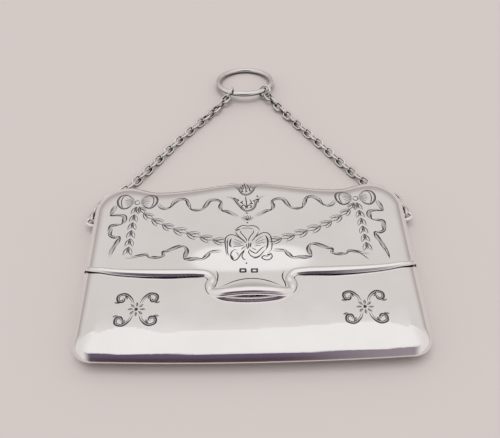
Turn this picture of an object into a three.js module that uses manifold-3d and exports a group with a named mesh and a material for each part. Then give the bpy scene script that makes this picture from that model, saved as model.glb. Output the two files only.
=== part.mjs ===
// A silver card case of envelope form: a flat hollow body with rounded edges and a wavy top,
// a hinged lid with a flared tongue, and two trace chains that carry a finger ring.
// Millimetres, +Z up. The case lies on its back with its front up, X across, +Y towards its top.
// The origin is on the flat back, in the middle of its width.

import * as THREE from 'three';
import { mergeVertices } from 'three/addons/utils/BufferGeometryUtils.js';
import Module from 'manifold-3d';

// Case: the shell's outside
const WIDTH = 100;
const FOOT_Y = -37.6;
const TOP_Y = 33.15;
const THICKNESS = 10.5;
const WALL = 0.8;
const RIM_Z = 5.75;
const ROLL_SIDE = 6.5;
const ROLL_TOP = 9;
const ROLL_STEPS = { outside: 4, inside: 2 };
const BOTTOM_CORNER = 6;
const TOP_CORNER = { width: 10, height: 11.2 };
const CORNER_TIGHTENING = 0.8;
const DIP = { x: 29.5, drop: 4 };
const SHOULDER = { x: 40, drop: 1.75 };

// Lid: its seam, the moulding along its lower edge and the flare of its tongue
const SEAM_Z = 6.2;
const GAP = 0.3;
const BEAD_RADIUS = 1.3;
const BEAD_RISE = 0.45;
const BEAD_STEPS = 54;
const LIP = {
  rise: 2.4, halfWidth: 13, arch: -12, archFall: 3.7, archReach: 9.6, edge: -18.8, root: -11, curl: 1.5,
};

// The right half of the lid's lower edge in plan, from the side of the case to the tongue's middle
const LID_EDGE = [
  { x: 49.8, y: -4.4 },
  { x: 49, y: -5.6 },
  { x: 46.5, y: -7.7 },
  { x: 42, y: -9.1 },
  { x: 33, y: -10.2 },
  { x: 24, y: -10.6 },
  { x: 15.5, y: -10.4 },
  { x: 12.6, y: -10.9 },
  { x: 11.3, y: -12.7 },
  { x: 11.9, y: -15.3 },
  { x: 11.3, y: -17.2 },
  { x: 9, y: -18.5 },
  { x: 4.5, y: -18.8 },
  { x: 0, y: -18.8 },
];

// Hinge at the crest of the top edge
const HINGE = { y: 32.3, z: 6.2, radius: 0.8, bore: 0.55, pin: 0.35, half: 6.5, middle: 2.2, sides: 12 };
const SWING_CLEARANCE = 0.7;

// Catch lug behind the tongue
const CATCH = { width: 9, foot: -24, footTop: -21.5, tip: -14.5, thickness: 0.7 };

// Flat-lying eyelets on the sides, and the jump rings that stand in them
const EYELET = { y: 18.7, z: 3.6, root: 49.1, bend: 51.3, tip: 52.6, half: 1.55, bendHalf: 1.47, wire: 0.4 };
const SIDE_RING = { x: 51.1, y: 20.35, z: 2.85, radius: 1.85, wire: 0.4, sides: 14 };
const WIRE_SIDES = 6;

// Chain links, and the finger ring with its jump rings
const LINK = {
  length: 4.7, width: 3.35, wire: 0.4, pitch: 3.25, sides: 10, wireSides: 5, lean: Math.PI / 4, turning: 6,
};
const LIE_Z = 1.36;
const CHAIN_LIFT = { from: 0.7, rise: 0.2 };
const FINGER_RING = { radius: 10.6, wire: 0.97, x: -0.5, y: 97.7, tilt: 8.5, sides: 28, wireSides: 8 };
const RING_LINK = { radius: 2.35, wire: 0.45, sides: 14, shift: 0.6 };
const RING_HOLD = { left: { side: -1, reach: 5.6, roll: -0.38 }, right: { side: 1, reach: 7.4, roll: -0.6 } };
const CHAIN_PULL = { out: 0.52, back: -0.8, down: -0.45 };

// Each chain's way along the table, from the side of the case to its straight run
const CHAIN_WAY = {
  left: [
    { x: -50.7, y: 26 },
    { x: -48.3, y: 30.6 },
    { x: -43.6, y: 34.8 },
    { x: -39.3, y: 40.2 },
    { x: -25, y: 63 },
  ],
  right: [
    { x: 50.7, y: 26 },
    { x: 48.3, y: 30.6 },
    { x: 43.6, y: 34.4 },
    { x: 39.4, y: 39 },
    { x: 24.6, y: 62.2 },
  ],
};

const wasm = await Module();
wasm.setup();

// A closed geometry as a solid that can be joined and cut
function solid(geometry) {
  const bare = geometry.clone();
  bare.deleteAttribute('normal');
  bare.deleteAttribute('uv');
  const merged = mergeVertices(bare, 1e-4);
  return new wasm.Manifold(new wasm.Mesh({
    numProp: 3,
    vertProperties: new Float32Array(merged.attributes.position.array),
    triVerts: new Uint32Array(merged.index.array),
  }));
}

// A solid as a named mesh
function piece(name, body, material) {
  const { vertProperties, triVerts } = body.getMesh();
  const geometry = new THREE.BufferGeometry();
  geometry.setAttribute('position', new THREE.BufferAttribute(vertProperties, 3));
  geometry.setIndex(new THREE.BufferAttribute(triVerts, 1));
  geometry.computeVertexNormals();
  const mesh = new THREE.Mesh(geometry, material);
  mesh.name = name;
  return mesh;
}

// A closed skin over rings of equal count; plane names the two axes that the rings lie in
function loft(rings, plane) {
  const count = rings[0].length;
  const flat = (ring) => ring.map((p) => new THREE.Vector2(p[plane[0]], p[plane[1]]));
  const index = [];
  for (let r = 0; r < rings.length - 1; r++) {
    for (let i = 0; i < count; i++) {
      const a = r * count + i;
      const b = r * count + (i + 1) % count;
      index.push(a, b, b + count, a, b + count, a + count);
    }
  }
  const last = (rings.length - 1) * count;
  for (const [a, b, c] of THREE.ShapeUtils.triangulateShape(flat(rings[0]), [])) index.push(a, c, b);
  for (const [a, b, c] of THREE.ShapeUtils.triangulateShape(flat(rings.at(-1)), [])) {
    index.push(last + a, last + b, last + c);
  }
  const geometry = new THREE.BufferGeometry().setFromPoints(rings.flat());
  geometry.setIndex(index);
  return solid(geometry);
}

function circle(radius, sides) {
  return new THREE.EllipseCurve(0, 0, radius, radius).getPoints(sides).slice(0, sides);
}

// A round rod along a curve
function rod(curve, radius, sides, steps) {
  const section = new THREE.Shape(circle(radius, sides));
  return solid(new THREE.ExtrudeGeometry(section, { steps, bevelEnabled: false, extrudePath: curve }));
}

// A plan outline raised between two heights
function slab(points, low, high) {
  const shape = new THREE.Shape(points);
  const geometry = new THREE.ExtrudeGeometry(shape, { depth: high - low, bevelEnabled: false });
  return solid(geometry.translate(0, 0, low));
}

function block(x0, x1, y0, y1, z0, z1) {
  const geometry = new THREE.BoxGeometry(x1 - x0, y1 - y0, z1 - z0);
  return solid(geometry.translate((x0 + x1) / 2, (y0 + y1) / 2, (z0 + z1) / 2));
}

// How far the wavy top edge lies below its crest
function waveDrop(x) {
  const ease = (t) => (1 - Math.cos(Math.PI * t)) / 2;
  const far = Math.abs(x);
  if (far < DIP.x) return DIP.drop * ease(far / DIP.x);
  return DIP.drop - (DIP.drop - SHOULDER.drop) * ease((far - DIP.x) / (SHOULDER.x - DIP.x));
}

// The case's plan outline, drawn in from the sides and bottom by inset and from the top in proportion
function outline(inset) {
  const tight = inset * CORNER_TIGHTENING;
  const right = WIDTH / 2 - inset;
  const bottom = FOOT_Y + inset;
  const top = TOP_Y - inset * ROLL_TOP / ROLL_SIDE;
  const low = BOTTOM_CORNER - tight;
  const wide = TOP_CORNER.width - tight;
  const tall = TOP_CORNER.height - tight;
  const shoulder = right - wide;
  const waveSteps = 8;
  const half = [
    ...new THREE.EllipseCurve(right - low, bottom + low, low, low, -Math.PI / 2, 0).getPoints(4),
    ...new THREE.EllipseCurve(shoulder, top - SHOULDER.drop - tall, wide, tall, 0, Math.PI / 2).getPoints(5),
  ];
  for (let i = 1; i < waveSteps; i++) {
    const x = shoulder * (1 - i / waveSteps);
    half.push(new THREE.Vector2(x, top - waveDrop(x)));
  }
  const mirrored = half.map((p) => new THREE.Vector2(-p.x, p.y)).reverse();
  return [...half, new THREE.Vector2(0, top), ...mirrored];
}

// The cushion-shaped form of the case, or of its inside when drawn in by a wall
function cushion(wall, steps) {
  const rings = [];
  for (let i = -steps; i <= steps; i++) {
    const turn = (i / steps) * Math.PI / 2;
    const reach = (i < 0 ? RIM_Z : THICKNESS - RIM_Z) - wall;
    const inset = wall + (ROLL_SIDE - wall) * (1 - Math.cos(turn));
    const z = RIM_Z + reach * Math.sin(turn);
    rings.push(outline(inset).map((p) => new THREE.Vector3(p.x, p.y, z)));
  }
  return loft(rings, ['x', 'y']);
}

// Height of the front at a place away from its top and bottom edges
function frontHeight(x) {
  const inset = THREE.MathUtils.clamp(WIDTH / 2 - Math.abs(x), 0, ROLL_SIDE);
  const rest = 1 - inset / ROLL_SIDE;
  return RIM_Z + (THICKNESS - RIM_Z) * Math.sqrt(1 - rest * rest);
}

// How far the tongue's flared lip stands above the front
function lipRise(x, y) {
  const arch = LIP.arch - LIP.archFall * (x / LIP.archReach) ** 2;
  const across = 1 - Math.min(1, Math.abs(x) / LIP.halfWidth) ** 2;
  const along = THREE.MathUtils.clamp((arch - y) / Math.max(arch - LIP.edge, 0.5), 0, 1);
  return LIP.rise * across * along ** LIP.curl;
}

// The lid's lower edge from its left end to its right end
function lidEdge() {
  const right = LID_EDGE.map((p) => new THREE.Vector3(p.x, p.y, 0));
  const left = right.slice(0, -1).map((p) => new THREE.Vector3(-p.x, p.y, 0));
  return new THREE.CatmullRomCurve3([...left, ...right.reverse()], false, 'centripetal');
}

const edgePoints = lidEdge().getPoints(BEAD_STEPS);

// The half-round moulding follows the lid's edge over the front and the tongue's flare.
// The room that the body leaves for it is wider by a gap and runs on past its ends.
function bead(radius, gap = 0) {
  const raised = edgePoints.map((p) => new THREE.Vector3(
    p.x, p.y, Math.max(SEAM_Z, frontHeight(p.x)) + BEAD_RISE + lipRise(p.x, p.y)));
  if (gap > 0) {
    const past = (end, before) => end.clone().addScaledVector(end.clone().sub(before).normalize(), gap);
    raised.unshift(past(raised[0], raised[1]));
    raised.push(past(raised.at(-1), raised.at(-2)));
  }
  return rod(new THREE.CatmullRomCurve3(raised, false, 'centripetal'), radius + gap, WIRE_SIDES, BEAD_STEPS);
}

// The space above the seam and behind the lid's edge, which the lid fills, opened by a gap all along
function lidSpace(gap) {
  const beyond = WIDTH;
  const end = edgePoints[0].y - gap;
  const plan = [
    ...edgePoints.map((p) => new THREE.Vector2(p.x, p.y - gap)),
    new THREE.Vector2(beyond, end),
    new THREE.Vector2(beyond, beyond),
    new THREE.Vector2(-beyond, beyond),
    new THREE.Vector2(-beyond, end),
  ];
  return slab(plan, SEAM_Z - gap, 2 * THICKNESS);
}

// The flared tongue: sections across the case, each a bent strip of the lid's sheet
function flaredLip() {
  const stations = 10;
  const steps = 5;
  const outer = LIP.edge - WALL;
  const rings = [];
  for (let s = 0; s <= stations; s++) {
    const x = LIP.halfWidth * (2 * s / stations - 1);
    const over = [];
    for (let i = 0; i <= steps; i++) {
      const y = outer + (LIP.root - outer) * i / steps;
      over.push(new THREE.Vector3(x, y, THICKNESS + lipRise(x, Math.max(y, LIP.edge))));
    }
    const under = over.map((p) => new THREE.Vector3(p.x, p.y, p.z - WALL));
    rings.push([...under, ...over.reverse()]);
  }
  return loft(rings, ['y', 'z']);
}

// A length of the hinge, solid or bored, along X
function hingeTube(x0, x1, radius, bore = 0) {
  const ring = new THREE.Shape(circle(radius, HINGE.sides));
  if (bore > 0) ring.holes.push(new THREE.Path(circle(bore, HINGE.sides)));
  const geometry = new THREE.ExtrudeGeometry(ring, { depth: x1 - x0, bevelEnabled: false });
  return solid(geometry.rotateY(Math.PI / 2).translate(x0, HINGE.y, HINGE.z));
}

// A loop of wire soldered to the side of the case
function eyelet(side) {
  const arc = new THREE.CatmullRomCurve3([
    new THREE.Vector3(side * EYELET.root, EYELET.y + EYELET.half, EYELET.z),
    new THREE.Vector3(side * EYELET.bend, EYELET.y + EYELET.bendHalf, EYELET.z),
    new THREE.Vector3(side * EYELET.tip, EYELET.y, EYELET.z),
    new THREE.Vector3(side * EYELET.bend, EYELET.y - EYELET.bendHalf, EYELET.z),
    new THREE.Vector3(side * EYELET.root, EYELET.y - EYELET.half, EYELET.z),
  ]);
  const steps = 12;
  return rod(arc, EYELET.wire, WIRE_SIDES, steps);
}

function caseBody(shell) {
  const half = CATCH.width / 2;
  const inside = THICKNESS - WALL;
  const lugTop = inside - GAP;
  return shell
    .subtract(lidSpace(GAP))
    .subtract(bead(BEAD_RADIUS, GAP))
    .subtract(hingeTube(-HINGE.middle - GAP / 2, HINGE.middle + GAP / 2, HINGE.radius + SWING_CLEARANCE))
    .subtract(hingeTube(-HINGE.half, HINGE.half, HINGE.bore))
    .add(hingeTube(-HINGE.half, -HINGE.middle - GAP / 2, HINGE.radius, HINGE.bore))
    .add(hingeTube(HINGE.middle + GAP / 2, HINGE.half, HINGE.radius, HINGE.bore))
    .add(block(-half, half, CATCH.foot, CATCH.tip, lugTop - CATCH.thickness, lugTop))
    .add(block(-half, half, CATCH.foot, CATCH.footTop, lugTop - CATCH.thickness / 2, inside + WALL / 2))
    .add(eyelet(-1))
    .add(eyelet(1));
}

function lidBody(shell) {
  const half = LIP.halfWidth;
  const tongue = block(-half, half, 2 * LIP.edge, LIP.root - WALL / 2, SEAM_Z, 2 * THICKNESS);
  const knuckle = HINGE.middle - GAP / 2;
  const clear = HINGE.radius + GAP;
  const space = lidSpace(0);
  return shell
    .intersect(space)
    .subtract(tongue)
    .add(flaredLip().intersect(space))
    .add(bead(BEAD_RADIUS))
    .subtract(hingeTube(-HINGE.half - GAP, -knuckle, clear))
    .subtract(hingeTube(knuckle, HINGE.half + GAP, clear))
    .subtract(hingeTube(-HINGE.half, HINGE.half, HINGE.bore))
    .add(hingeTube(-knuckle, knuckle, HINGE.radius, HINGE.bore));
}

// One oval link centred at a place: a ring whose two halves are drawn apart along its length
function link(place, along, across) {
  const ring = new THREE.TorusGeometry(LINK.width / 2 - LINK.wire, LINK.wire, LINK.wireSides, LINK.sides);
  ring.rotateZ(Math.PI / LINK.sides);
  const spot = ring.attributes.position;
  const draw = (LINK.length - LINK.width) / 2;
  for (let i = 0; i < spot.count; i++) {
    const x = spot.getX(i);
    const end = Math.abs(x) < LINK.wire / 10 ? 0 : Math.sign(x);
    spot.setX(i, x + end * draw);
  }
  const normal = new THREE.Vector3().crossVectors(along, across);
  const turn = new THREE.Matrix4().makeBasis(along, across, normal).setPosition(place);
  return solid(ring.applyMatrix4(turn));
}

// A chain along a curve: links a pitch apart, turned a quarter of a turn from one to the next.
// They lean both ways as they lie, and turn level towards the chain's ends.
function chain(curve) {
  const fine = 2000;
  const beside = fine / 100;
  const path = curve.getSpacedPoints(fine);
  const length = curve.getLength();
  const count = Math.round((length - LINK.length + 2 * LINK.wire) / LINK.pitch) + 1;
  const pitch = (length - LINK.length + 2 * LINK.wire) / (count - 1);
  const first = LINK.length / 2 - LINK.wire;
  const lean = (i) => (i % 2 ? LINK.lean : -LINK.lean);
  const fade = (i) => Math.max(0, 1 - i / LINK.turning);
  let body = null;
  for (let i = 0; i < count; i++) {
    const at = Math.round((first + i * pitch) / length * fine);
    const along = path[Math.min(fine, at + beside)].clone().sub(path[Math.max(0, at - beside)]).normalize();
    const twist = -lean(0) * fade(i) - lean(count - 1) * fade(count - 1 - i);
    const rise = (LINK.width / 2 - LINK.wire) * (Math.sin(LINK.lean + Math.abs(twist)) - Math.sin(LINK.lean));
    const place = path[at].clone();
    place.z = Math.max(place.z, LIE_Z + rise);
    const level = new THREE.Vector3(0, 0, 1).cross(along).normalize();
    const one = link(place, along, level.applyAxisAngle(along, lean(i) + twist));
    body = body ? body.add(one) : one;
  }
  return body;
}

// A plain round-wire ring about a normal
function wireRing(centre, normal, radius, wire, sides, wireSides) {
  const up = new THREE.Vector3(0, 0, 1);
  const turn = new THREE.Quaternion().setFromUnitVectors(up, normal);
  const ring = new THREE.TorusGeometry(radius, wire, wireSides, sides).applyQuaternion(turn);
  return solid(ring.translate(centre.x, centre.y, centre.z));
}

// The finger ring lies with its far side on the table and its near side raised on its jump rings
const tilt = THREE.MathUtils.degToRad(FINGER_RING.tilt);
const ringCentre = new THREE.Vector3(
  FINGER_RING.x, FINGER_RING.y, FINGER_RING.wire + FINGER_RING.radius * Math.sin(tilt));

// Where a chain takes hold of the finger ring: the place on its wire, the wire's way there,
// the pull of the chain, and the jump ring between them
function hold({ side, reach, roll }) {
  const near = Math.sqrt(FINGER_RING.radius ** 2 - reach ** 2);
  const offset = new THREE.Vector3(side * reach, -near * Math.cos(tilt), near * Math.sin(tilt));
  const wire = ringCentre.clone().add(offset);
  const way = new THREE.Vector3(near, side * reach * Math.cos(tilt), 0).normalize();
  const pull = new THREE.Vector3(side * CHAIN_PULL.out, CHAIN_PULL.back, CHAIN_PULL.down).normalize();
  const centre = wire.clone().addScaledVector(pull, RING_LINK.shift);
  const normal = way.addScaledVector(pull, -way.dot(pull)).normalize().applyAxisAngle(pull, roll);
  const chainEnd = centre.clone().addScaledVector(
    pull, RING_LINK.radius - RING_LINK.wire - LINK.wire - GAP);
  return { centre, normal, chainEnd };
}

// From the side ring along the table and up to the finger ring's jump ring
function chainCurve(side, way, end) {
  const reach = SIDE_RING.radius - SIDE_RING.wire - LINK.wire - GAP;
  const start = new THREE.Vector3(side * SIDE_RING.x, SIDE_RING.y + reach, SIDE_RING.z);
  const lying = way.map((p) => new THREE.Vector3(p.x, p.y, LIE_Z));
  const before = lying.at(-1).clone().lerp(end, CHAIN_LIFT.from).setZ(LIE_Z + CHAIN_LIFT.rise);
  return new THREE.CatmullRomCurve3([start, ...lying, before, end], false, 'centripetal');
}

function silver(color, roughness) {
  return new THREE.MeshStandardMaterial({ color, roughness, metalness: 1 });
}

const card_case = new THREE.Group();
const shell = cushion(0, ROLL_STEPS.outside).subtract(cushion(WALL, ROLL_STEPS.inside));
card_case.add(piece('case_body', caseBody(shell), silver(0xd9d6d3, 0.18)));
card_case.add(piece('lid', lidBody(shell), silver(0xdcd9d6, 0.16)));
card_case.add(piece('hinge_pin', hingeTube(-HINGE.half, HINGE.half, HINGE.pin), silver(0xb4b0ac, 0.35)));
card_case.add(piece('finger_ring', wireRing(
  ringCentre, new THREE.Vector3(0, Math.sin(tilt), Math.cos(tilt)),
  FINGER_RING.radius, FINGER_RING.wire, FINGER_RING.sides, FINGER_RING.wireSides), silver(0xcac6c1, 0.22)));
for (const [word, place] of Object.entries(RING_HOLD)) {
  const { side } = place;
  const grip = hold(place);
  const sideCentre = new THREE.Vector3(side * SIDE_RING.x, SIDE_RING.y, SIDE_RING.z);
  card_case.add(piece(`side_ring_${word}`, wireRing(
    sideCentre, new THREE.Vector3(1, 0, 0),
    SIDE_RING.radius, SIDE_RING.wire, SIDE_RING.sides, WIRE_SIDES), silver(0xb9b4ae, 0.3)));
  const way = chainCurve(side, CHAIN_WAY[word], grip.chainEnd);
  card_case.add(piece(`chain_${word}`, chain(way), silver(0xbdb8b2, 0.28)));
  card_case.add(piece(`ring_link_${word}`, wireRing(
    grip.centre, grip.normal,
    RING_LINK.radius, RING_LINK.wire, RING_LINK.sides, WIRE_SIDES), silver(0xc2bdb7, 0.26)));
}

export default card_case;
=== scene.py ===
import itertools
import math

import bpy
import numpy as np
from mathutils import Matrix, Vector
from mathutils.geometry import delaunay_2d_cdt


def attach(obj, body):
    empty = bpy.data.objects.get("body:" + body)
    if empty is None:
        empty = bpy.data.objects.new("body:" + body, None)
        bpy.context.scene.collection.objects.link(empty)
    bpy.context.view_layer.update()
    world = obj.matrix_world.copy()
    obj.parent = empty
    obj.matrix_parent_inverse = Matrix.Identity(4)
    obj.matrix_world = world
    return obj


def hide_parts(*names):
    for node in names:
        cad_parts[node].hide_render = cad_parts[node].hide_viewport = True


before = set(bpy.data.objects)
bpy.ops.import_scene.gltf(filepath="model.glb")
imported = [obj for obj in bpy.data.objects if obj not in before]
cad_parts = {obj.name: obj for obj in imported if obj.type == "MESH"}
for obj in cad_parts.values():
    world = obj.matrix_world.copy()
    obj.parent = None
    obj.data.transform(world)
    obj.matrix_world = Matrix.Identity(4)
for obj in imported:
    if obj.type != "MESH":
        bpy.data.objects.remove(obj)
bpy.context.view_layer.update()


# Case body: the back, sides and lower front of the case, raised from sheet silver into one hollow shell.
# The edge is rolled all round, and along the foot the front bows down to a low, crisp rim. The front stops
# short of the lid's bead, and the rim has a notch along the top for the hinge.
MM = 0.001
WIDTH = 100
FOOT_Y = -38.6
FOOT_BOW = {"x": 44, "rise": 1.1}
TOP_Y = 33.15
THICKNESS = 10.5
WALL = 0.8
RIM_Z = 5.75
ROLL_SIDE = 6.5
ROLL_TOP = 9
BOTTOM_CORNER = 6
LEAST_CORNER = 0.3
TOP_CORNER = {"width": 10, "height": 11.2}
CORNER_TIGHTENING = 0.8
DIP = {"x": 29.5, "drop": 4}
SHOULDER = {"x": 40, "drop": 1.75}
ROLL_FULLNESS = 1.6
FOOT_ROLL = [  # x, how far the roll reaches up the front from the foot
    (-50, 5), (-45, 5.2), (-42.8, 5.9), (-36.6, 8.3), (-30.7, 8.0), (-24.9, 6.4), (-15.9, 7.2), (-0.6, 7.4),
    (15.8, 8.1), (29.7, 8.8), (36, 8.4), (40.5, 7.1), (44, 5.4), (50, 5),
]
FOOT_EDGE = {
    "depth": 5.0, "band": 1.45, "rim_slope": 2.0, "band_slope": 0.84, "crease_slope": 0.04,
    "under_power": 2.36,
}
FOOT_PART = {"corner": 8, "full_turn": 12, "no_turn": 74, "from_y": -20, "to_y": -26}
CROWN = {"side": 0.25, "ends": 0.2}
SEAM_Z = {"case": 6.1, "lid": 6.2}
HINGE = {
    "y": 32.3, "z": 6.2, "radius": 0.68, "bore": 0.45, "pin": 0.35, "half": 6.5, "middle": 2.2, "gap": 0.15,
}
NOTCH = {"case": (5.25, 5.55), "lid": (6.85, 7.15), "half": 6.7}
SHEET_INSET = 1.0
LIP = {
    "rise": 2.4, "half_width": 13, "arch": -12, "arch_fall": 3.7, "arch_reach": 9.6, "edge": -18.8,
    "curl": 1.5, "shortest": 0.5,
}
BEAD = {
    "radius": 1.35, "end_radius": 0.75, "taper_from": 22, "proud": 0.45, "gap": 0.06, "open_gap": 0.4,
    "open_from": 13, "open_to": 16, "close_from": 24, "close_to": 36, "ends_from": 40, "ends_to": 48,
    "ends": 0.6,
}
LID_EDGE = [  # x, y of the right half
    (49.8, -4.4), (49, -5.6), (46.5, -7.7), (42, -9.1), (33, -10.2), (24, -10.6), (15.5, -10.4),
    (12.6, -10.9), (11.3, -12.7), (11.9, -15.3), (11.3, -17.2), (9, -18.5), (4.5, -18.8), (0, -18.8),
]
ROLL_STEP = 0.02
EDGE_STEPS = 10
FOOT_ROLL_STEPS = 12


def smooth_line(rows, steps):
    """Points on a centripetal Catmull-Rom curve through the rows, so many steps from each row to the next."""
    rows = np.asarray(rows, float)
    ends = np.vstack([2 * rows[:1] - rows[1:2], rows, 2 * rows[-1:] - rows[-2:-1]])
    share = np.linspace(0, 1, steps, endpoint=False)[:, None]
    spans = []
    for before, start, end, after in zip(ends, ends[1:], ends[2:], ends[3:]):
        first = np.linalg.norm(start - before) ** 0.5
        middle = np.linalg.norm(end - start) ** 0.5
        last = np.linalg.norm(after - end) ** 0.5
        leave = (start - before) / first - (end - before) / (first + middle) + (end - start) / middle
        arrive = (end - start) / middle - (after - start) / (middle + last) + (after - end) / last
        leave, arrive = leave * middle, arrive * middle
        bend = 3 * (end - start) - 2 * leave - arrive
        turn = 2 * (start - end) + leave + arrive
        spans.append(start + leave * share + bend * share**2 + turn * share**3)
    return np.vstack(spans + [rows[-1:]])


def smoothstep(low, high, value):
    share = np.clip((value - low) / (high - low), 0, 1)
    return share * share * (3 - 2 * share)


def unit(vectors):
    return vectors / np.maximum(np.linalg.norm(vectors, axis=-1, keepdims=True), 1e-12)


def arch_line(x):
    """The y of the crease from which the tongue flares."""
    return LIP["arch"] - LIP["arch_fall"] * (x / LIP["arch_reach"]) ** 2


def lip_rise(x, y):
    """How far the lid's tongue is flared up towards its edge."""
    arch = arch_line(x)
    across = 1 - np.minimum(1, np.abs(x) / LIP["half_width"]) ** 2
    along = np.clip((arch - y) / np.maximum(arch - LIP["edge"], LIP["shortest"]), 0, 1)
    return LIP["rise"] * across * along ** LIP["curl"]


def bead_radius(x):
    ending = smoothstep(BEAD["taper_from"], WIDTH / 2, np.abs(x))
    return BEAD["radius"] + (BEAD["end_radius"] - BEAD["radius"]) * ending


lid_edge = smooth_line(LID_EDGE + [(-x, y) for x, y in LID_EDGE[-2::-1]], EDGE_STEPS)
edge_way = unit(np.gradient(lid_edge, axis=0))
edge_out = np.stack([-edge_way[:, 1], edge_way[:, 0]], axis=1)
edge_out *= -np.sign(edge_out[len(edge_out) // 2, 1])
lifted = lip_rise(lid_edge[:, 0], lid_edge[:, 1]) / LIP["rise"]
aside = np.abs(lid_edge[:, 0])
opened = smoothstep(BEAD["open_from"], BEAD["open_to"], aside)
opened *= 1 - smoothstep(BEAD["close_from"], BEAD["close_to"], aside)
opened += BEAD["ends"] * smoothstep(BEAD["ends_from"], BEAD["ends_to"], aside)
edge_gap = BEAD["gap"] + (BEAD["open_gap"] - BEAD["gap"]) * opened
case_edge = lid_edge + edge_out * (bead_radius(lid_edge[:, 0]) * (1 - lifted) + edge_gap)[:, None]

# Columns round the outline: foot, lower corner, side of the case, side of the lid, upper corner, wavy top
PLAIN_COLUMNS = (16, 14, 16, 20, 24)
WAVE_COLUMNS = 61
wave_shares = np.concatenate([
    np.linspace(0, 1, WAVE_COLUMNS),
    [1 - (x + side * ROLL_STEP / 2) / SHOULDER["x"]
     for x in (NOTCH["half"], HINGE["middle"]) for side in (-1, 1)],
])
column_rows = [np.linspace(0, 1, count, endpoint=False) for count in PLAIN_COLUMNS] + [np.sort(wave_shares)]
half_columns = [(kind, along) for kind, shares in enumerate(column_rows) for along in shares]
right_count = len(half_columns)
all_columns = half_columns + half_columns[-2:0:-1]
column_kind = np.array([kind for kind, along in all_columns])
column_share = np.array([along for kind, along in all_columns])
column_side = np.where(np.arange(len(all_columns)) < right_count, 1, -1)
first_cross = [kind for kind, along in half_columns].index(3)
last_cross = len(all_columns) - first_cross
upper_columns = np.arange(first_cross, last_cross + 1)
lower_columns = np.concatenate([np.arange(last_cross, len(all_columns)), np.arange(0, first_cross + 1)])


def wave_drop(x):
    """How far the top edge lies below its middle hump."""
    x = np.abs(x)
    inner = (1 - np.cos(np.pi * x / DIP["x"])) / 2
    outer = (1 - np.cos(np.pi * np.clip((x - DIP["x"]) / (SHOULDER["x"] - DIP["x"]), 0, 1))) / 2
    return np.where(x < DIP["x"], DIP["drop"] * inner, DIP["drop"] - (DIP["drop"] - SHOULDER["drop"]) * outer)


def foot_bow(x):
    """How far the foot's line has risen from its middle."""
    return FOOT_BOW["rise"] * (x / FOOT_BOW["x"]) ** 2


def outline_sizes(inset):
    tight = inset * CORNER_TIGHTENING
    right = WIDTH / 2 - inset
    bottom = FOOT_Y + inset
    top = TOP_Y - inset * ROLL_TOP / ROLL_SIDE
    low = np.maximum(BOTTOM_CORNER - tight, LEAST_CORNER)
    wide = TOP_CORNER["width"] - tight
    tall = TOP_CORNER["height"] - tight
    return right, bottom, top, low, wide, tall


def outline(inset, edge):
    """Plan points of the outline drawn in by an inset, column by column; the edge curve splits its sides."""
    inset = np.broadcast_to(np.asarray(inset, float), column_kind.shape)
    right, bottom, top, low, wide, tall = outline_sizes(inset)
    shoulder = right - wide
    elbow = top - SHOULDER["drop"] - tall
    heel = bottom + low
    half = edge[edge[:, 0] > WIDTH / 4]
    half = half[np.argsort(half[:, 0])]
    cross = np.interp(right, half[:, 0], half[:, 1])
    turn = column_share * np.pi / 2
    x = np.select([column_kind == kind for kind in range(6)], [
        (right - low) * column_share, right - low + low * np.sin(turn), right, right,
        shoulder + wide * np.cos(turn), shoulder * (1 - column_share),
    ])
    y = np.select([column_kind == kind for kind in range(6)], [
        bottom, heel - low * np.cos(turn), heel + (cross - heel) * column_share,
        cross + (elbow - cross) * column_share, elbow + tall * np.sin(turn),
        top - wave_drop(x * SHOULDER["x"] / shoulder),
    ])
    bowed = np.select([column_kind < 2, column_kind == 2], [1, 1 - column_share], 0)
    return x * column_side, y + foot_bow(x) * bowed


HALVINGS = 34


def inset_at(x, y):
    """How far a plan place lies inside the outline, measured as the outline's own inset."""
    wide_x = np.abs(x)
    near = np.zeros_like(wide_x)
    far = np.full_like(wide_x, 2 * ROLL_SIDE)
    for _ in range(HALVINGS):
        inset = (near + far) / 2
        right, bottom, top, low, wide, tall = outline_sizes(inset)
        shoulder = right - wide
        elbow = top - SHOULDER["drop"] - tall
        level = y - foot_bow(wide_x)
        inside = (wide_x <= right) & (level >= bottom)
        foot = (wide_x > right - low) & (level < bottom + low)
        inside &= ~foot | ((wide_x - right + low) ** 2 + (level - bottom - low) ** 2 <= low**2)
        corner = (wide_x > shoulder) & (y > elbow)
        inside &= ~corner | (((wide_x - shoulder) / wide) ** 2 + ((y - elbow) / tall) ** 2 <= 1)
        inside &= (wide_x > shoulder) | (y <= top - wave_drop(wide_x * SHOULDER["x"] / shoulder))
        near = np.where(inside, inset, near)
        far = np.where(inside, far, inset)
    return near


foot_roll = smooth_line(FOOT_ROLL, FOOT_ROLL_STEPS)


def foot_part(x, y):
    """1 where the edge has the foot's section, 0 where it has that of the sides, easing round the corners."""
    aside = np.maximum(np.abs(x) - WIDTH / 2 + FOOT_PART["corner"], 0)
    below = np.maximum(FOOT_Y + FOOT_PART["corner"] - y, 0)
    turn = np.degrees(np.arctan2(aside, below))
    low = smoothstep(-FOOT_PART["from_y"], -FOOT_PART["to_y"], -y)
    return low * smoothstep(-FOOT_PART["no_turn"], -FOOT_PART["full_turn"], -turn)


def foot_fall(inset, reach):
    """How far the foot has bowed down from the front: an easy slope, then a steep band to the rim."""
    band, steep = FOOT_EDGE["band"], FOOT_EDGE["rim_slope"]
    slope, crease = FOOT_EDGE["band_slope"], FOOT_EDGE["crease_slope"]
    low = np.clip(inset, 0, band)
    near = FOOT_EDGE["depth"] - steep * low + (steep - slope) * low**2 / (2 * band)
    span = reach - band
    mean = (FOOT_EDGE["depth"] - (steep + slope) * band / 2) / span
    power = (slope - crease) / (mean - crease)
    along = np.clip((reach - inset) / span, 0, 1)
    far = span * (crease * along + (slope - crease) * along**power / power)
    return np.where(inset < band, near, far)


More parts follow.
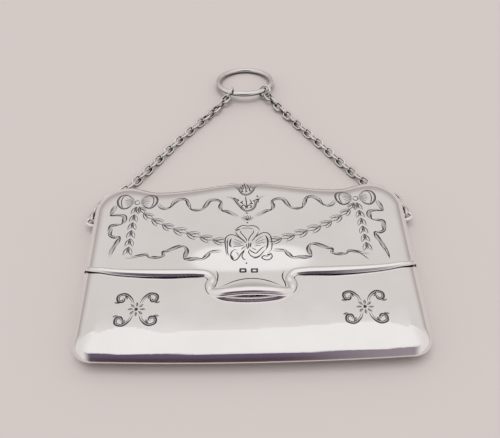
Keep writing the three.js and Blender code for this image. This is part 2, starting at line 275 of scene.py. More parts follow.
def front_height(inset, x, y):
    """Height of the front: a rolled edge, a foot that bows down to a crisp low rim, and a slight crown."""
    rest = 1 - np.clip(inset / ROLL_SIDE, 0, 1)
    fall = (THICKNESS - RIM_Z) * (1 - (1 - rest**ROLL_FULLNESS) ** (1 / ROLL_FULLNESS))
    foot = foot_fall(inset, np.interp(x, foot_roll[:, 0], foot_roll[:, 1]))
    fall = fall + (foot - fall) * foot_part(x, y)
    inner = smoothstep(0, ROLL_SIDE, inset)
    along = (2 * y - FOOT_Y - TOP_Y) / (TOP_Y - FOOT_Y)
    crown = (CROWN["side"] * (2 * x / WIDTH) ** 2 + CROWN["ends"] * along**2) * inner
    return THICKNESS - fall - crown


def back_height(inset, x, y):
    """Height of the back's rolled edge, which is thinner under the foot."""
    rest = 1 - np.clip(inset, 0, ROLL_SIDE) / ROLL_SIDE
    side = RIM_Z * (1 - np.sqrt(1 - rest**2))
    foot = (THICKNESS - FOOT_EDGE["depth"]) * rest ** FOOT_EDGE["under_power"]
    return side + (foot - side) * foot_part(x, y)


def turn_at(height):
    """The turn of the front's roll at a height above the rim."""
    share = np.clip((height - RIM_Z) / (THICKNESS - RIM_Z), 0, 1)
    return np.arccos((1 - share**ROLL_FULLNESS) ** (1 / ROLL_FULLNESS))


def roll_row(turn, edge, front):
    """One row of points round the rolled edge; turn is 0 at the rim and a quarter turn at the flat."""
    inset = ROLL_SIDE * (1 - np.cos(turn))
    x, y = outline(inset, edge)
    inset = np.broadcast_to(inset, x.shape)
    return np.stack([x, y, (front_height if front else back_height)(inset, x, y)], axis=1)


def roll_normals(turn, edge, front):
    """The true normals of that row, from its slope along and across the roll."""
    turn = np.broadcast_to(np.asarray(turn, float), column_kind.shape)
    step = 1e-3
    across = roll_row(turn + step, edge, front) - roll_row(np.maximum(turn - step, 0), edge, front)
    ahead = np.roll(roll_row(np.roll(turn, 1), edge, front), -1, axis=0)
    behind = np.roll(roll_row(np.roll(turn, -1), edge, front), 1, axis=0)
    normal = unit(np.cross(ahead - behind, across))
    return normal if front else -normal


def roll_patch(turns, columns, edge, front):
    rows = np.array([roll_row(turn, edge, front)[columns] for turn in turns])
    normals = np.array([roll_normals(turn, edge, front)[columns] for turn in turns])
    return rows, normals


def grid_faces(rows, columns, closed=False):
    index = np.arange(rows * columns).reshape(rows, columns)
    if closed:
        index = np.hstack([index, index[:, :1]])
    return np.stack([index[:-1, :-1], index[:-1, 1:], index[1:, 1:], index[1:, :-1]], axis=-1).reshape(-1, 4)


def seam_heights(which):
    """The height at which each column stops at the seam, with the notch for the hinge along the top."""
    x, y = outline(0, lid_edge)
    top = column_kind == 5
    inner, outer = NOTCH[which]
    height = np.where(top & (np.abs(x) < NOTCH["half"]), outer, SEAM_Z[which])
    return np.where(top & (np.abs(x) < HINGE["middle"]), inner, height)


MERGE_STEPS = {"place": 2000, "normal": 200}


class Skin:
    """Patches of a surface, in millimetres, joined into one mesh that keeps the normals of its true form."""

    def __init__(self):
        self.points, self.faces, self.normals, self.finishes = [], [], [], []
        self.count = 0

    # A slot picks a face's material; slot 1 is the darkened metal of the cuts and the painted shade inside
    # links.
    def add(self, points, faces, normals=None, slot=0):
        points = np.asarray(points, float).reshape(-1, 3)
        faces = np.asarray(faces)
        spokes = points[faces[:, 1:]] - points[faces[:, :1]]
        flat = unit(np.cross(spokes[:, :-1], spokes[:, 1:]).sum(axis=1))
        if normals is None:
            corners = np.repeat(flat[:, None], faces.shape[1], axis=1)
        else:
            corners = np.asarray(normals, float).reshape(-1, 3)[faces]
            if (flat * corners.mean(axis=1)).sum() < 0:
                faces, corners = faces[:, ::-1], corners[:, ::-1]
        self.points.append(points)
        self.faces.append(faces + self.count)
        self.normals.append(corners)
        self.finishes.append(np.broadcast_to(slot, len(faces)))
        self.count += len(points)

    def build(self, name, materials):
        points = np.concatenate(self.points)
        keys = np.round(points * MERGE_STEPS["place"]).astype(np.int64)
        _, first, same = np.unique(keys, axis=0, return_index=True, return_inverse=True)
        same = same.reshape(-1)
        faces, finishes, vertices, normals, known = [], [], [], [], {}
        for patch, patch_normals, slot in zip(self.faces, self.normals, self.finishes):
            turns = np.round(patch_normals * MERGE_STEPS["normal"]).astype(int).tolist()
            for face, normal, turn, part in zip(same[patch].tolist(), patch_normals, turns, slot):
                kept = [i for i, vertex in enumerate(face) if vertex != face[i - 1]]
                if len(kept) < 3 or len({face[i] for i in kept}) < len(kept):
                    continue
                corners = []
                for i in kept:
                    key = (face[i], *turn[i])
                    if key not in known:
                        known[key] = len(vertices)
                        vertices.append(first[face[i]])
                        normals.append(normal[i])
                    corners.append(known[key])
                faces.append(corners)
                finishes.append(part)
        mesh = bpy.data.meshes.new(name)
        mesh.from_pydata((points[vertices] * MM).tolist(), [], faces)
        for material in materials:
            mesh.materials.append(material)
        mesh.polygons.foreach_set("material_index", np.array(finishes, np.int32))
        mesh.polygons.foreach_set("use_smooth", np.ones(len(faces), bool))
        mesh.normals_split_custom_set_from_vertices(np.array(normals).tolist())
        piece = bpy.data.objects.new(name, mesh)
        bpy.context.collection.objects.link(piece)
        return piece


def cut_depth(places, strokes, slope):
    """Depth of the graver's V-shaped cuts at plan places."""
    depth = np.zeros(len(places))
    for stroke in strokes:
        reach = stroke[:, 2].max()
        low = stroke[:, :2].min(axis=0) - reach
        high = stroke[:, :2].max(axis=0) + reach
        near = np.flatnonzero(((places >= low) & (places <= high)).all(axis=1))
        if not len(near):
            continue
        start, way = stroke[:-1, :2], np.diff(stroke[:, :2], axis=0)
        offset = places[near][:, None] - start[None]
        share = np.clip((offset * way).sum(-1) / np.maximum((way**2).sum(-1), 1e-12), 0, 1)
        away = np.linalg.norm(offset - share[..., None] * way, axis=-1)
        half = stroke[:-1, 2] + np.diff(stroke[:, 2]) * share
        depth[near] = np.maximum(depth[near], slope * (half - away).max(axis=1))
    return depth


def inside_loop(places, loop):
    start, end = loop, np.roll(loop, -1, axis=0)
    inside = np.zeros(len(places), bool)
    for (ax, ay), (bx, by) in zip(start, end):
        spans = (ay > places[:, 1]) != (by > places[:, 1])
        if ay != by:
            inside ^= spans & (places[:, 0] < (bx - ax) * (places[:, 1] - ay) / (by - ay) + ax)
    return inside


SLOPE_STEP = 0.02


def plan_heights(places, height):
    """Points of a surface at plan places, and the surface's normals there."""
    x, y = np.asarray(places).T
    slope_x = (height(x + SLOPE_STEP, y) - height(x - SLOPE_STEP, y)) / (2 * SLOPE_STEP)
    slope_y = (height(x, y + SLOPE_STEP) - height(x, y - SLOPE_STEP)) / (2 * SLOPE_STEP)
    normals = unit(np.stack([-slope_x, -slope_y, np.ones_like(x)], axis=1))
    return np.stack([x, y, height(x, y)], axis=1), normals


CUT = {"slope": 0.6, "least": 0.004, "clear": 0.05}
GUIDE_CLEAR = 0.25
SAME_PLACE = 1e-4
GUIDE_INSETS = (1.35, 1.8, 2.3, 2.9, 3.6, 4.4, 5.2, 6.0)
GUIDE_PITCH = {"outside": 0.6, "inside": 0.7}
CREASE_GUIDES = {"rest": (0.0, 0.02, 0.05, 0.1, 0.2, 0.35), "arch": (0.06, 0.0, -0.06, -0.3), "pitch": 0.6}


def crease_guides():
    """Places along the crease above the foot's roll and along the arch where the tongue begins to flare."""
    x = np.arange(-WIDTH / 2, WIDTH / 2, CREASE_GUIDES["pitch"])
    reach = np.interp(x, foot_roll[:, 0], foot_roll[:, 1])
    rows = [np.stack([x, FOOT_Y + foot_bow(x) + reach * (1 - rest)], axis=1)
            for rest in CREASE_GUIDES["rest"]]
    x = x[np.abs(x) < LIP["half_width"]]
    return rows + [np.stack([x, arch_line(x) + aside], axis=1) for aside in CREASE_GUIDES["arch"]]


def front_sheet(border, strokes, height, edge, pitch):
    """A sheet inside a plan border whose height follows the front, with each stroke cut into it."""
    places, links = [], []

    def line(rows, closed=False):
        start = len(places)
        places.extend(rows)
        links.extend((start + i, start + i + 1) for i in range(len(rows) - 1))
        if closed:
            links.append((start + len(rows) - 1, start))

    line(border.tolist(), True)
    low, high = border.min(axis=0), border.max(axis=0)
    gx, gy = np.meshgrid(np.arange(low[0], high[0], pitch), np.arange(low[1], high[1], pitch))
    free = [np.stack([gx.ravel(), gy.ravel()], axis=1)]
    free += [np.stack(outline(inset, edge), axis=1) for inset in GUIDE_INSETS]
    free = np.concatenate(free + crease_guides())
    free = free[inside_loop(free, border)]
    gap = np.array([np.abs(border - place).max(axis=1).min() for place in free])
    free = free[gap > GUIDE_CLEAR]
    if strokes:
        free = free[cut_depth(free, [stroke + (0, 0, CUT["clear"]) for stroke in strokes], 1) <= 0]
    places.extend(free.tolist())
    for stroke in strokes:
        way = unit(np.gradient(stroke[:, :2], axis=0))
        side = np.stack([-way[:, 1], way[:, 0]], axis=1) * stroke[:, 2:]
        line((stroke[:, :2] + side).tolist())
        line((stroke[:, :2] - side).tolist())
        line(stroke[:, :2].tolist())
    found, _, faces, origin, _, _ = delaunay_2d_cdt(
        [Vector(place) for place in places], links, [], 0, SAME_PLACE)
    found = np.array([tuple(place) for place in found])
    faces = np.array(faces)
    faces = faces[inside_loop(found[faces].mean(axis=1), border)]
    for vertex, sources in enumerate(origin):
        for source in sources:
            if source < len(border):
                found[vertex] = border[source]
    points, normals = plan_heights(found, height)
    points[:, 2] -= cut_depth(found, strokes, CUT["slope"])
    cut = cut_depth(found[faces].mean(axis=1), strokes, CUT["slope"]) > CUT["least"]
    return points, faces, normals, cut


def case_height(x, y):
    return front_height(inset_at(x, y), x, y)


MOUTH_END = 0.1


def mouth_line(edge, inset):
    """The part of an edge curve that lies inside an inset, from left to right."""
    half = edge[edge[:, 0] > WIDTH / 4]
    half = half[np.argsort(half[:, 0])]
    reach = WIDTH / 2 - inset
    line = edge[np.abs(edge[:, 0]) < reach - MOUTH_END]
    line = line[::-1] if line[0, 0] > line[-1, 0] else line
    end = np.interp(reach, half[:, 0], half[:, 1])
    return np.vstack([[(-reach, end)], line, [(reach, end)]])


def add_wall(skin, loop, normals):
    """The edge of the sheet metal: a strip from the outer loop to the loop one wall inside it."""
    inner = loop - WALL * normals
    points = np.vstack([loop, inner])
    count = len(loop)
    index = np.arange(count)
    after = (index + 1) % count
    skin.add(points, np.stack([index, index + count, after + count, after], axis=1))


RISE_LEVELS = 7
UNDER_LEVELS = 13
rim_turn = np.arccos(1 - SHEET_INSET / ROLL_SIDE)
seam_height = seam_heights("case")
case_seam = turn_at(seam_height)
plain_seam = turn_at(SEAM_Z["case"])

case_skin = Skin()
under_stop = np.where(seam_height < RIM_Z, np.arcsin(np.clip(1 - seam_height / RIM_Z, -1, 1)), 0)
under_levels = [under_stop + (np.pi / 2 - under_stop) * level for level in np.linspace(1, 0, UNDER_LEVELS)]
under, under_normals = roll_patch(under_levels, np.arange(len(all_columns)), case_edge, False)
case_skin.add(under, grid_faces(*under.shape[:2], closed=True), under_normals)
back_face = np.arange(len(all_columns))[None]
back_normal = np.tile((0, 0, -1), (len(all_columns), 1))
case_skin.add(under[0], back_face, back_normal)

rim_levels = [case_seam * level for level in (0, 0.5, 1)]
rim, rim_normals = roll_patch(rim_levels, upper_columns, case_edge, True)
below = seam_height[upper_columns] < RIM_Z
rim[:, below] = under[-1][upper_columns][below]
rim_normals[:, below] = under_normals[-1][upper_columns][below]
case_skin.add(rim, grid_faces(*rim.shape[:2]), rim_normals)

rise_turns = [0, plain_seam / 2] + list(np.linspace(plain_seam, rim_turn, RISE_LEVELS))
rise, rise_normals = roll_patch(rise_turns, lower_columns, case_edge, True)
case_skin.add(rise, grid_faces(*rise.shape[:2]), rise_normals)

case_mouth = mouth_line(case_edge, SHEET_INSET)
case_border = np.vstack([rise[-1][:, :2], case_mouth[-2:0:-1]])


LEAF = {"bow": 0.13, "light_edge": 0.6, "steps": 9, "tip": 0.04, "fullness": 0.7}


def leaf(base, way, length, half):
    """Two bowed cuts that meet at the leaf's tip, one heavy and one light, with bright metal between them."""
    base, way = np.asarray(base, float), unit(np.asarray(way, float))
    side = np.array([-way[1], way[0]])
    share = np.linspace(0, 1, LEAF["steps"])
    swell = np.sin(np.pi * np.clip(share, LEAF["tip"], 1 - LEAF["tip"])) ** LEAF["fullness"]
    cuts = []
    for hand, weight in ((-1, half), (1, half * LEAF["light_edge"])):
        bow = hand * LEAF["bow"] * length * np.sin(np.pi * share)
        line = base + np.outer(share * length, way) + np.outer(bow, side)
        cuts.append(np.column_stack([line, swell * weight]))
    return cuts


def dot(place, half):
    x, y = place
    return [np.array([(x - half, y, 0), (x, y, half), (x + half, y, 0)])]


TAPER = 4.5
LIGHT_CUT = 0.55


def tapered(rows, half, steps=6):
    """A cut along a smooth line, running out to nothing at both ends."""
    line = smooth_line(rows, steps)
    share = np.linspace(0, 1, len(line))
    return np.column_stack([line[:, :2], half * np.minimum(1, TAPER * np.minimum(share, 1 - share))])


def doubled(rows, half, apart):
    """A heavy cut with a light one beside it."""
    heavy = tapered(rows, half)
    way = unit(np.gradient(heavy[:, :2], axis=0))
    aside = np.stack([-way[:, 1], way[:, 0]], axis=1) * apart
    return [heavy, np.column_stack([heavy[:, :2] + aside, heavy[:, 2] * LIGHT_CUT])]


ROSETTE = {"radius": 2.5, "petals": 8, "eye": 0.22, "foot": 0.35, "petal": 0.65, "cut": 0.16}


def rosette(place):
    radius = ROSETTE["radius"]
    cuts = dot(place, ROSETTE["eye"] * radius)
    for turn in np.linspace(0, 2 * np.pi, ROSETTE["petals"], endpoint=False):
        way = np.array([np.cos(turn), np.sin(turn)])
        foot = np.asarray(place) + ROSETTE["foot"] * radius * way
        cuts += leaf(foot, way, ROSETTE["petal"] * radius, ROSETTE["cut"])
    return cuts


FLOWER_KNOTS = [(-32.3, -23.2), (31.8, -23.9)]
KNOT_SCROLL = [(0.6, 1.4), (1.6, 4.0), (3.6, 5.7), (5.6, 5.0), (5.6, 3.1), (4.2, 2.6), (3.6, 3.7), (4.4, 4.2)]
KNOT_LEAVES = [(4.9, 2.2, 12), (2.9, 3.6, 62)]  # x, y, way in degrees
KNOT_CUT = {"scroll": 0.26, "apart": 0.55, "leaf": 0.18, "leaf_length": 1.6}
case_strokes = []
for knot_x, knot_y in FLOWER_KNOTS:
    case_strokes += rosette((knot_x, knot_y))
    for hand_x, hand_y in itertools.product((-1, 1), repeat=2):
        rows = [(knot_x + hand_x * x, knot_y + hand_y * y) for x, y in KNOT_SCROLL]
        case_strokes += doubled(rows, KNOT_CUT["scroll"], -KNOT_CUT["apart"] * hand_x * hand_y)
        for x, y, turn in KNOT_LEAVES:
            way = (hand_x * math.cos(math.radians(turn)), hand_y * math.sin(math.radians(turn)))
            foot = (knot_x + hand_x * x, knot_y + hand_y * y)
            case_strokes += leaf(foot, way, KNOT_CUT["leaf_length"], KNOT_CUT["leaf"])

sheet, sheet_faces, sheet_normals, sheet_cut = front_sheet(
    case_border, case_strokes, case_height, case_edge, GUIDE_PITCH["outside"])
case_skin.add(sheet, sheet_faces[~sheet_cut], sheet_normals)
case_skin.add(sheet, sheet_faces[sheet_cut], None, 1)

plain, plain_faces, plain_normals, _ = front_sheet(
    case_border, [], case_height, case_edge, GUIDE_PITCH["inside"])
case_skin.add(plain - WALL * plain_normals, plain_faces, -plain_normals)
case_skin.add(under - WALL * under_normals, grid_faces(*under.shape[:2], closed=True), -under_normals)
case_skin.add(under[0] - WALL * under_normals[0], back_face, -back_normal)
case_skin.add(rim - WALL * rim_normals, grid_faces(*rim.shape[:2]), -rim_normals)
case_skin.add(rise - WALL * rise_normals, grid_faces(*rise.shape[:2]), -rise_normals)
case_lip, case_lip_normals = plan_heights(case_mouth[1:-1], case_height)
loop = np.vstack([rim[-1], rise[3:, 0], case_lip, rise[:2:-1, -1]])
loop_normals = np.vstack([rim_normals[-1], rise_normals[3:, 0], case_lip_normals, rise_normals[:2:-1, -1]])
add_wall(case_skin, loop, loop_normals)


def add_node(tree, kind, place, **values):
    node = tree.nodes.new(kind)
    node.location = place
    for name, value in values.items():
        if hasattr(node, name):
            setattr(node, name, value)
        else:
            node.inputs[name.replace("_", " ")].default_value = value
    return node


# The silver's cloudy polish and polishing marks, plus painted shade: the colour darkens on faces that look
# down.
wear_and_shade_group = bpy.data.node_groups.new("silver_wear_and_underside_shade", "ShaderNodeTree")
for name, kind in (("Dull", "Color"), ("Bright", "Color"), ("Below", "Float")):
    wear_and_shade_group.interface.new_socket(name, in_out="INPUT", socket_type=f"NodeSocket{kind}")
for name, kind in (("Color", "Color"), ("Roughness", "Float"), ("Height", "Float")):
    wear_and_shade_group.interface.new_socket(name, in_out="OUTPUT", socket_type=f"NodeSocket{kind}")
wear_shade_in = add_node(wear_and_shade_group, "NodeGroupInput", (-300, 700))
wear_shade_out = add_node(wear_and_shade_group, "NodeGroupOutput", (900, 0))
place = add_node(wear_and_shade_group, "ShaderNodeTexCoord", (-900, 0))
cloud = add_node(wear_and_shade_group, "ShaderNodeTexNoise", (-500, 250), Scale=55, Detail=5, Roughness=0.6)
share = add_node(wear_and_shade_group, "ShaderNodeMapRange", (-200, 250), From_Min=0.35, From_Max=0.75)
tone = add_node(wear_and_shade_group, "ShaderNodeMix", (100, 300), data_type="RGBA")
stretch = add_node(wear_and_shade_group, "ShaderNodeMapping", (-700, -200), Scale=(0.12, 1, 1), Rotation=(0, 0, 0.4))
marks = add_node(wear_and_shade_group, "ShaderNodeTexNoise", (-500, -200), Scale=2600, Detail=3, Roughness=0.7)
rough = add_node(wear_and_shade_group, "ShaderNodeMapRange", (100, -50), From_Min=0.35, From_Max=0.75,
                 To_Min=0.06, To_Max=0.13)
apart = add_node(wear_and_shade_group, "ShaderNodeSeparateXYZ", (-500, 550))
# Painted shade: faces whose normal points down are darkened towards the Below value.
under = add_node(wear_and_shade_group, "ShaderNodeMapRange", (100, 550), interpolation_type="SMOOTHSTEP",
                 From_Min=-0.25, From_Max=0.5)
shaded = add_node(wear_and_shade_group, "ShaderNodeVectorMath", (500, 300), operation="SCALE")
for source, target in (
    (place.outputs["Object"], cloud.inputs["Vector"]), (place.outputs["Object"], stretch.inputs["Vector"]),
    (stretch.outputs["Vector"], marks.inputs["Vector"]), (cloud.outputs["Fac"], share.inputs["Value"]),
    (share.outputs["Result"], tone.inputs["Factor"]), (wear_shade_in.outputs["Dull"], tone.inputs[6]),
    (wear_shade_in.outputs["Bright"], tone.inputs[7]), (cloud.outputs["Fac"], rough.inputs["Value"]),
    (place.outputs["Normal"], apart.inputs["Vector"]), (apart.outputs["Z"], under.inputs["Value"]),
    (wear_shade_in.outputs["Below"], under.inputs["To Min"]), (tone.outputs[2], shaded.inputs[0]),
    (under.outputs["Result"], shaded.inputs["Scale"]), (shaded.outputs["Vector"], wear_shade_out.inputs["Color"]),
    (rough.outputs["Result"], wear_shade_out.inputs["Roughness"]),
    (marks.outputs["Fac"], wear_shade_out.inputs["Height"]),
):
    wear_and_shade_group.links.new(source, target)


def bare_metal(name):
    material = bpy.data.materials.new(name)
    material.use_nodes = True
    shader = material.node_tree.nodes["Principled BSDF"]
    shader.inputs["Metallic"].default_value = 1
    return material, material.node_tree, shader


def polished_silver(name, dull, bright, below=1.0):
    """Silver with fine polishing marks and a cloudy polish; below is how bright the painted shade on its
    undersides is.
    """
    material, tree, shader = bare_metal(name)
    wear_and_shade = add_node(tree, "ShaderNodeGroup", (-600, 100), node_tree=wear_and_shade_group)
    wear_and_shade.inputs["Dull"].default_value = (*dull, 1)
    wear_and_shade.inputs["Bright"].default_value = (*bright, 1)
    wear_and_shade.inputs["Below"].default_value = below
    bump = add_node(tree, "ShaderNodeBump", (-300, -200), Strength=0.05, Distance=0.00002)
    tree.links.new(wear_and_shade.outputs["Color"], shader.inputs["Base Color"])
    tree.links.new(wear_and_shade.outputs["Roughness"], shader.inputs["Roughness"])
    tree.links.new(wear_and_shade.outputs["Height"], bump.inputs["Height"])
    tree.links.new(bump.outputs["Normal"], shader.inputs["Normal"])
    return material


DARK_TONES = ((0.3, (0.05, 0.044, 0.05, 1)), (0.7, (0.15, 0.138, 0.146, 1)))  # place on the ramp, colour


def darkened_and_shade_silver(name):
    """Bare metal that has darkened, for the floor of a graver's cut; on the inside of a link the same dark is
    painted shade.
    """
    material, tree, shader = bare_metal(name)
    shader.inputs["Roughness"].default_value = 0.4
    place = add_node(tree, "ShaderNodeTexCoord", (-900, 0))
    cloud = add_node(tree, "ShaderNodeTexNoise", (-600, 0), Scale=300, Detail=3)
    tone = add_node(tree, "ShaderNodeValToRGB", (-300, 0))
    for stop, (position, colour) in zip(tone.color_ramp.elements, DARK_TONES):
        stop.position, stop.color = position, colour
    tree.links.new(place.outputs["Object"], cloud.inputs["Vector"])
    tree.links.new(cloud.outputs["Fac"], tone.inputs["Fac"])
    tree.links.new(tone.outputs["Color"], shader.inputs["Base Color"])
    return material


SHEET_TONE = ((0.9, 0.885, 0.875), (0.95, 0.94, 0.935))
case_silver = polished_silver("case_silver_polished", *SHEET_TONE)
dark_and_shade_silver = darkened_and_shade_silver("silver_darkened_and_painted_shade")
case_shell = case_skin.build("case_shell", [case_silver, dark_and_shade_silver])
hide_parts("case_body")
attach(case_shell, "case")


# Lid: the upper front, raised from the same sheet silver, with a flared tongue in the middle of its lower
# edge. Ribbon bows, leaf swags and husk drops are cut into it with a graver. It turns on the hinge along
# the top.
LID_DIP = {"drop": 0.95, "from_y": 3.5, "to_y": -11, "half_width": 20}


def lid_height(x, y):
    dip = LID_DIP["drop"] * smoothstep(-LID_DIP["from_y"], -LID_DIP["to_y"], -y)
    dip = dip * np.exp(-((x / LID_DIP["half_width"]) ** 4))
    return case_height(x, y) - dip + lip_rise(x, y)


AXIS = -0.8
SIDE_BOW = {
    "knot": (-35.8, 20.3), "knot_size": (0.8, 0.9), "knot_turn": 2.2 * math.pi, "knot_steps": 11,
    "loop_cut": 0.19, "apart": 0.35, "rim_cut": 0.15,
}
BOW_LOOP = [(0.8, 1.0), (2.4, 3.1), (4.1, 4.0), (5.6, 3.5), (6.5, 1.2), (6.0, -1.2), (4.5, -2.8), (2.9, -2.5),
            (1.6, -1.0), (0.8, -0.3)]
BOW_RIM = [(3.2, 3.8), (4.7, 2.9), (5.2, 0.8), (4.9, -1.2), (4.2, -2.7)]
BOW_FOLDS = [(0.9, 0.8, 3.0, 2.9), (0.9, 0.6, 3.9, 2.1), (0.9, 0.4, 4.4, 1.3), (0.9, 0.2, 4.4, 0.4),
             (0.9, 0.0, 4.1, -0.6), (0.9, -0.1, 3.7, -1.5)]
SWAG = [(-35.0, 18.4), (-33.5, 15.5), (-30.7, 12.8), (-27.3, 10.2), (-23.8, 8.1), (-19.6, 6.2), (-15.5, 4.4),
        (-11.5, 3.0), (-7.6, 2.0)]
DROP = [(-35.9, 18.4), (-36.2, 14.9), (-36.4, 11.4), (-36.5, 7.9), (-36.6, 4.4), (-36.7, 0.9), (-36.9, -2.7)]
TAIL = [  # x, y, width of the folded ribbon
    (-42.4, 20.0, 0.2), (-42.9, 18.0, 0.9), (-43.5, 16.0, 0.8), (-43.8, 14.6, 0.1), (-41.5, 14.8, 0.5),
    (-39.6, 14.3, 0.8), (-39.2, 12.4, 0.9), (-39.9, 10.7, 0.1), (-41.5, 10.4, 0.5), (-43.1, 9.9, 0.6),
    (-43.2, 8.0, 0.9), (-42.9, 5.8, 0.5), (-41.4, 5.0, 0.6), (-40.0, 5.2, 0.1), (-40.3, 3.3, 0.8),
    (-41.0, 1.6, 0.7), (-41.8, -0.6, 0.8), (-42.1, -3.5, 0.2),
]
UPPER_RIBBON = [
    (-29.3, 20.0, 0.3), (-28.2, 18.0, 0.8), (-26.5, 17.1, 0.5), (-25.1, 17.8, 0.2), (-23.9, 20.2, 0.9),
    (-22.0, 21.5, 0.9), (-20.2, 21.1, 0.5), (-19.3, 18.9, 0.8), (-18.5, 16.6, 0.2), (-16.9, 16.2, 0.6),
    (-14.9, 16.6, 0.4), (-13.8, 18.2, 0.8), (-12.7, 20.4, 0.8), (-10.8, 20.7, 0.7), (-9.0, 19.8, 0.3),
    (-9.2, 17.3, 0.8), (-8.6, 15.7, 0.2), (-6.8, 15.2, 0.7), (-5.0, 13.9, 0.8), (-3.1, 12.3, 0.3),
]
LOWER_RIBBON = [
    (-8.0, -1.3, 0.4), (-10.0, -1.6, 0.7), (-12.0, -1.9, 0.5), (-13.0, -3.1, 0.8), (-14.3, -4.5, 0.4),
    (-16.3, -4.3, 0.7), (-18.3, -4.5, 0.7), (-19.8, -4.5, 0.1), (-19.4, -2.9, 0.8), (-19.1, -1.2, 0.7),
    (-20.0, 0.5, 0.3), (-21.4, 0.6, 0.6), (-23.2, -0.3, 0.8), (-25.1, -1.2, 0.6), (-26.4, -1.5, 0.1),
    (-26.0, -2.8, 0.6), (-26.8, -3.6, 0.3), (-28.7, -3.8, 0.6), (-30.3, -3.7, 0.2), (-31.0, -2.6, 0.4),
    (-33.4, -3.0, 0.6), (-35.3, -3.5, 0.5), (-37.7, -3.9, 0.1),
]
RIGHT_ENDS = [  # the right-hand ribbons run on a little further than the left
    [(40.3, 0.2), (40.9, -1.4), (41.2, -2.8), (41.4, -4.3), (41.4, -6.1)],
    [(40.0, -0.8), (40.5, -2.4), (41.0, -4.2), (41.4, -6.1)],
    [(29.5, -2.0), (31.9, -3.0), (33.9, -4.7), (35.3, -6.4)],
]
CUPS = [  # each flower's cup, from its left tip to its right tip
    [(-5.2, 28.4), (-4.0, 26.8), (-3.2, 25.2), (-2.5, 23.6), (-1.1, 22.7), (0.5, 23.4), (1.5, 24.9),
     (2.2, 27.0), (3.6, 28.7)],
    [(-7.9, 21.9), (-6.0, 21.6), (-4.8, 20.6), (-3.8, 18.7), (-2.9, 17.2), (-2.2, 16.1), (-0.9, 15.2),
     (0.9, 15.8), (2.0, 17.4), (2.4, 19.5), (3.6, 21.2), (5.6, 22.4)],
]
CUP_STEMS = [  # the stems and petals that stand in the cups
    [(-0.9, 16.0), (-0.8, 18.4), (-1.0, 20.6), (-1.1, 22.5)], [(-1.9, 20.4), (-2.3, 19.0), (-1.6, 18.2)],
    [(0.1, 20.9), (0.7, 19.2), (-0.1, 18.3)], [(1.6, 20.8), (2.5, 20.6), (3.0, 19.6), (2.5, 18.9)],
    [(-3.2, 21.0), (-4.0, 20.8), (-4.6, 21.6)], [(-1.1, 23.2), (-0.9, 26.0), (-1.3, 28.4), (-1.3, 31.0)],
    [(-2.0, 24.4), (-2.3, 26.4), (-2.9, 28.0)], [(0.2, 24.4), (0.3, 26.4), (0.9, 28.2)],
    [(-1.7, 25.6), (-1.9, 27.6), (-1.7, 29.2)], [(-0.3, 25.6), (-0.2, 27.6), (-0.6, 29.2)],
]
CUP_CUT = {"cup": 0.2, "apart": 0.45, "stem": 0.17, "scroll": 0.19, "dot": 0.36}
CUP_SCROLLS = [(-1.9, 17.2, 1), (0.2, 17.2, -1)]  # x, y, hand
SCROLL = {"turn": (-1.2, 5.6), "size": (0.9, 0.25), "tall": 1.3, "steps": 11}
CUP_DOTS = [(-3.4, 20.3), (-2.5, 19.4), (1.5, 20.0), (0.9, 18.7), (3.0, 20.6), (-4.7, 21.3), (2.7, 22.1),
            (-2.1, 24.6), (0.4, 25.0), (-0.8, 24.6), (-2.9, 26.5), (1.3, 26.7), (-1.3, 31.0), (-1.9, 28.6),
            (-0.6, 28.6)]
PALMETTE = {
    "foot": (-0.7, 11.0), "leaves": (-52, -26, 0, 26, 52), "length": 2.5, "cut": 0.12,
    "dots": [(-0.9, 14.4), (-0.7, 10.1)],
}
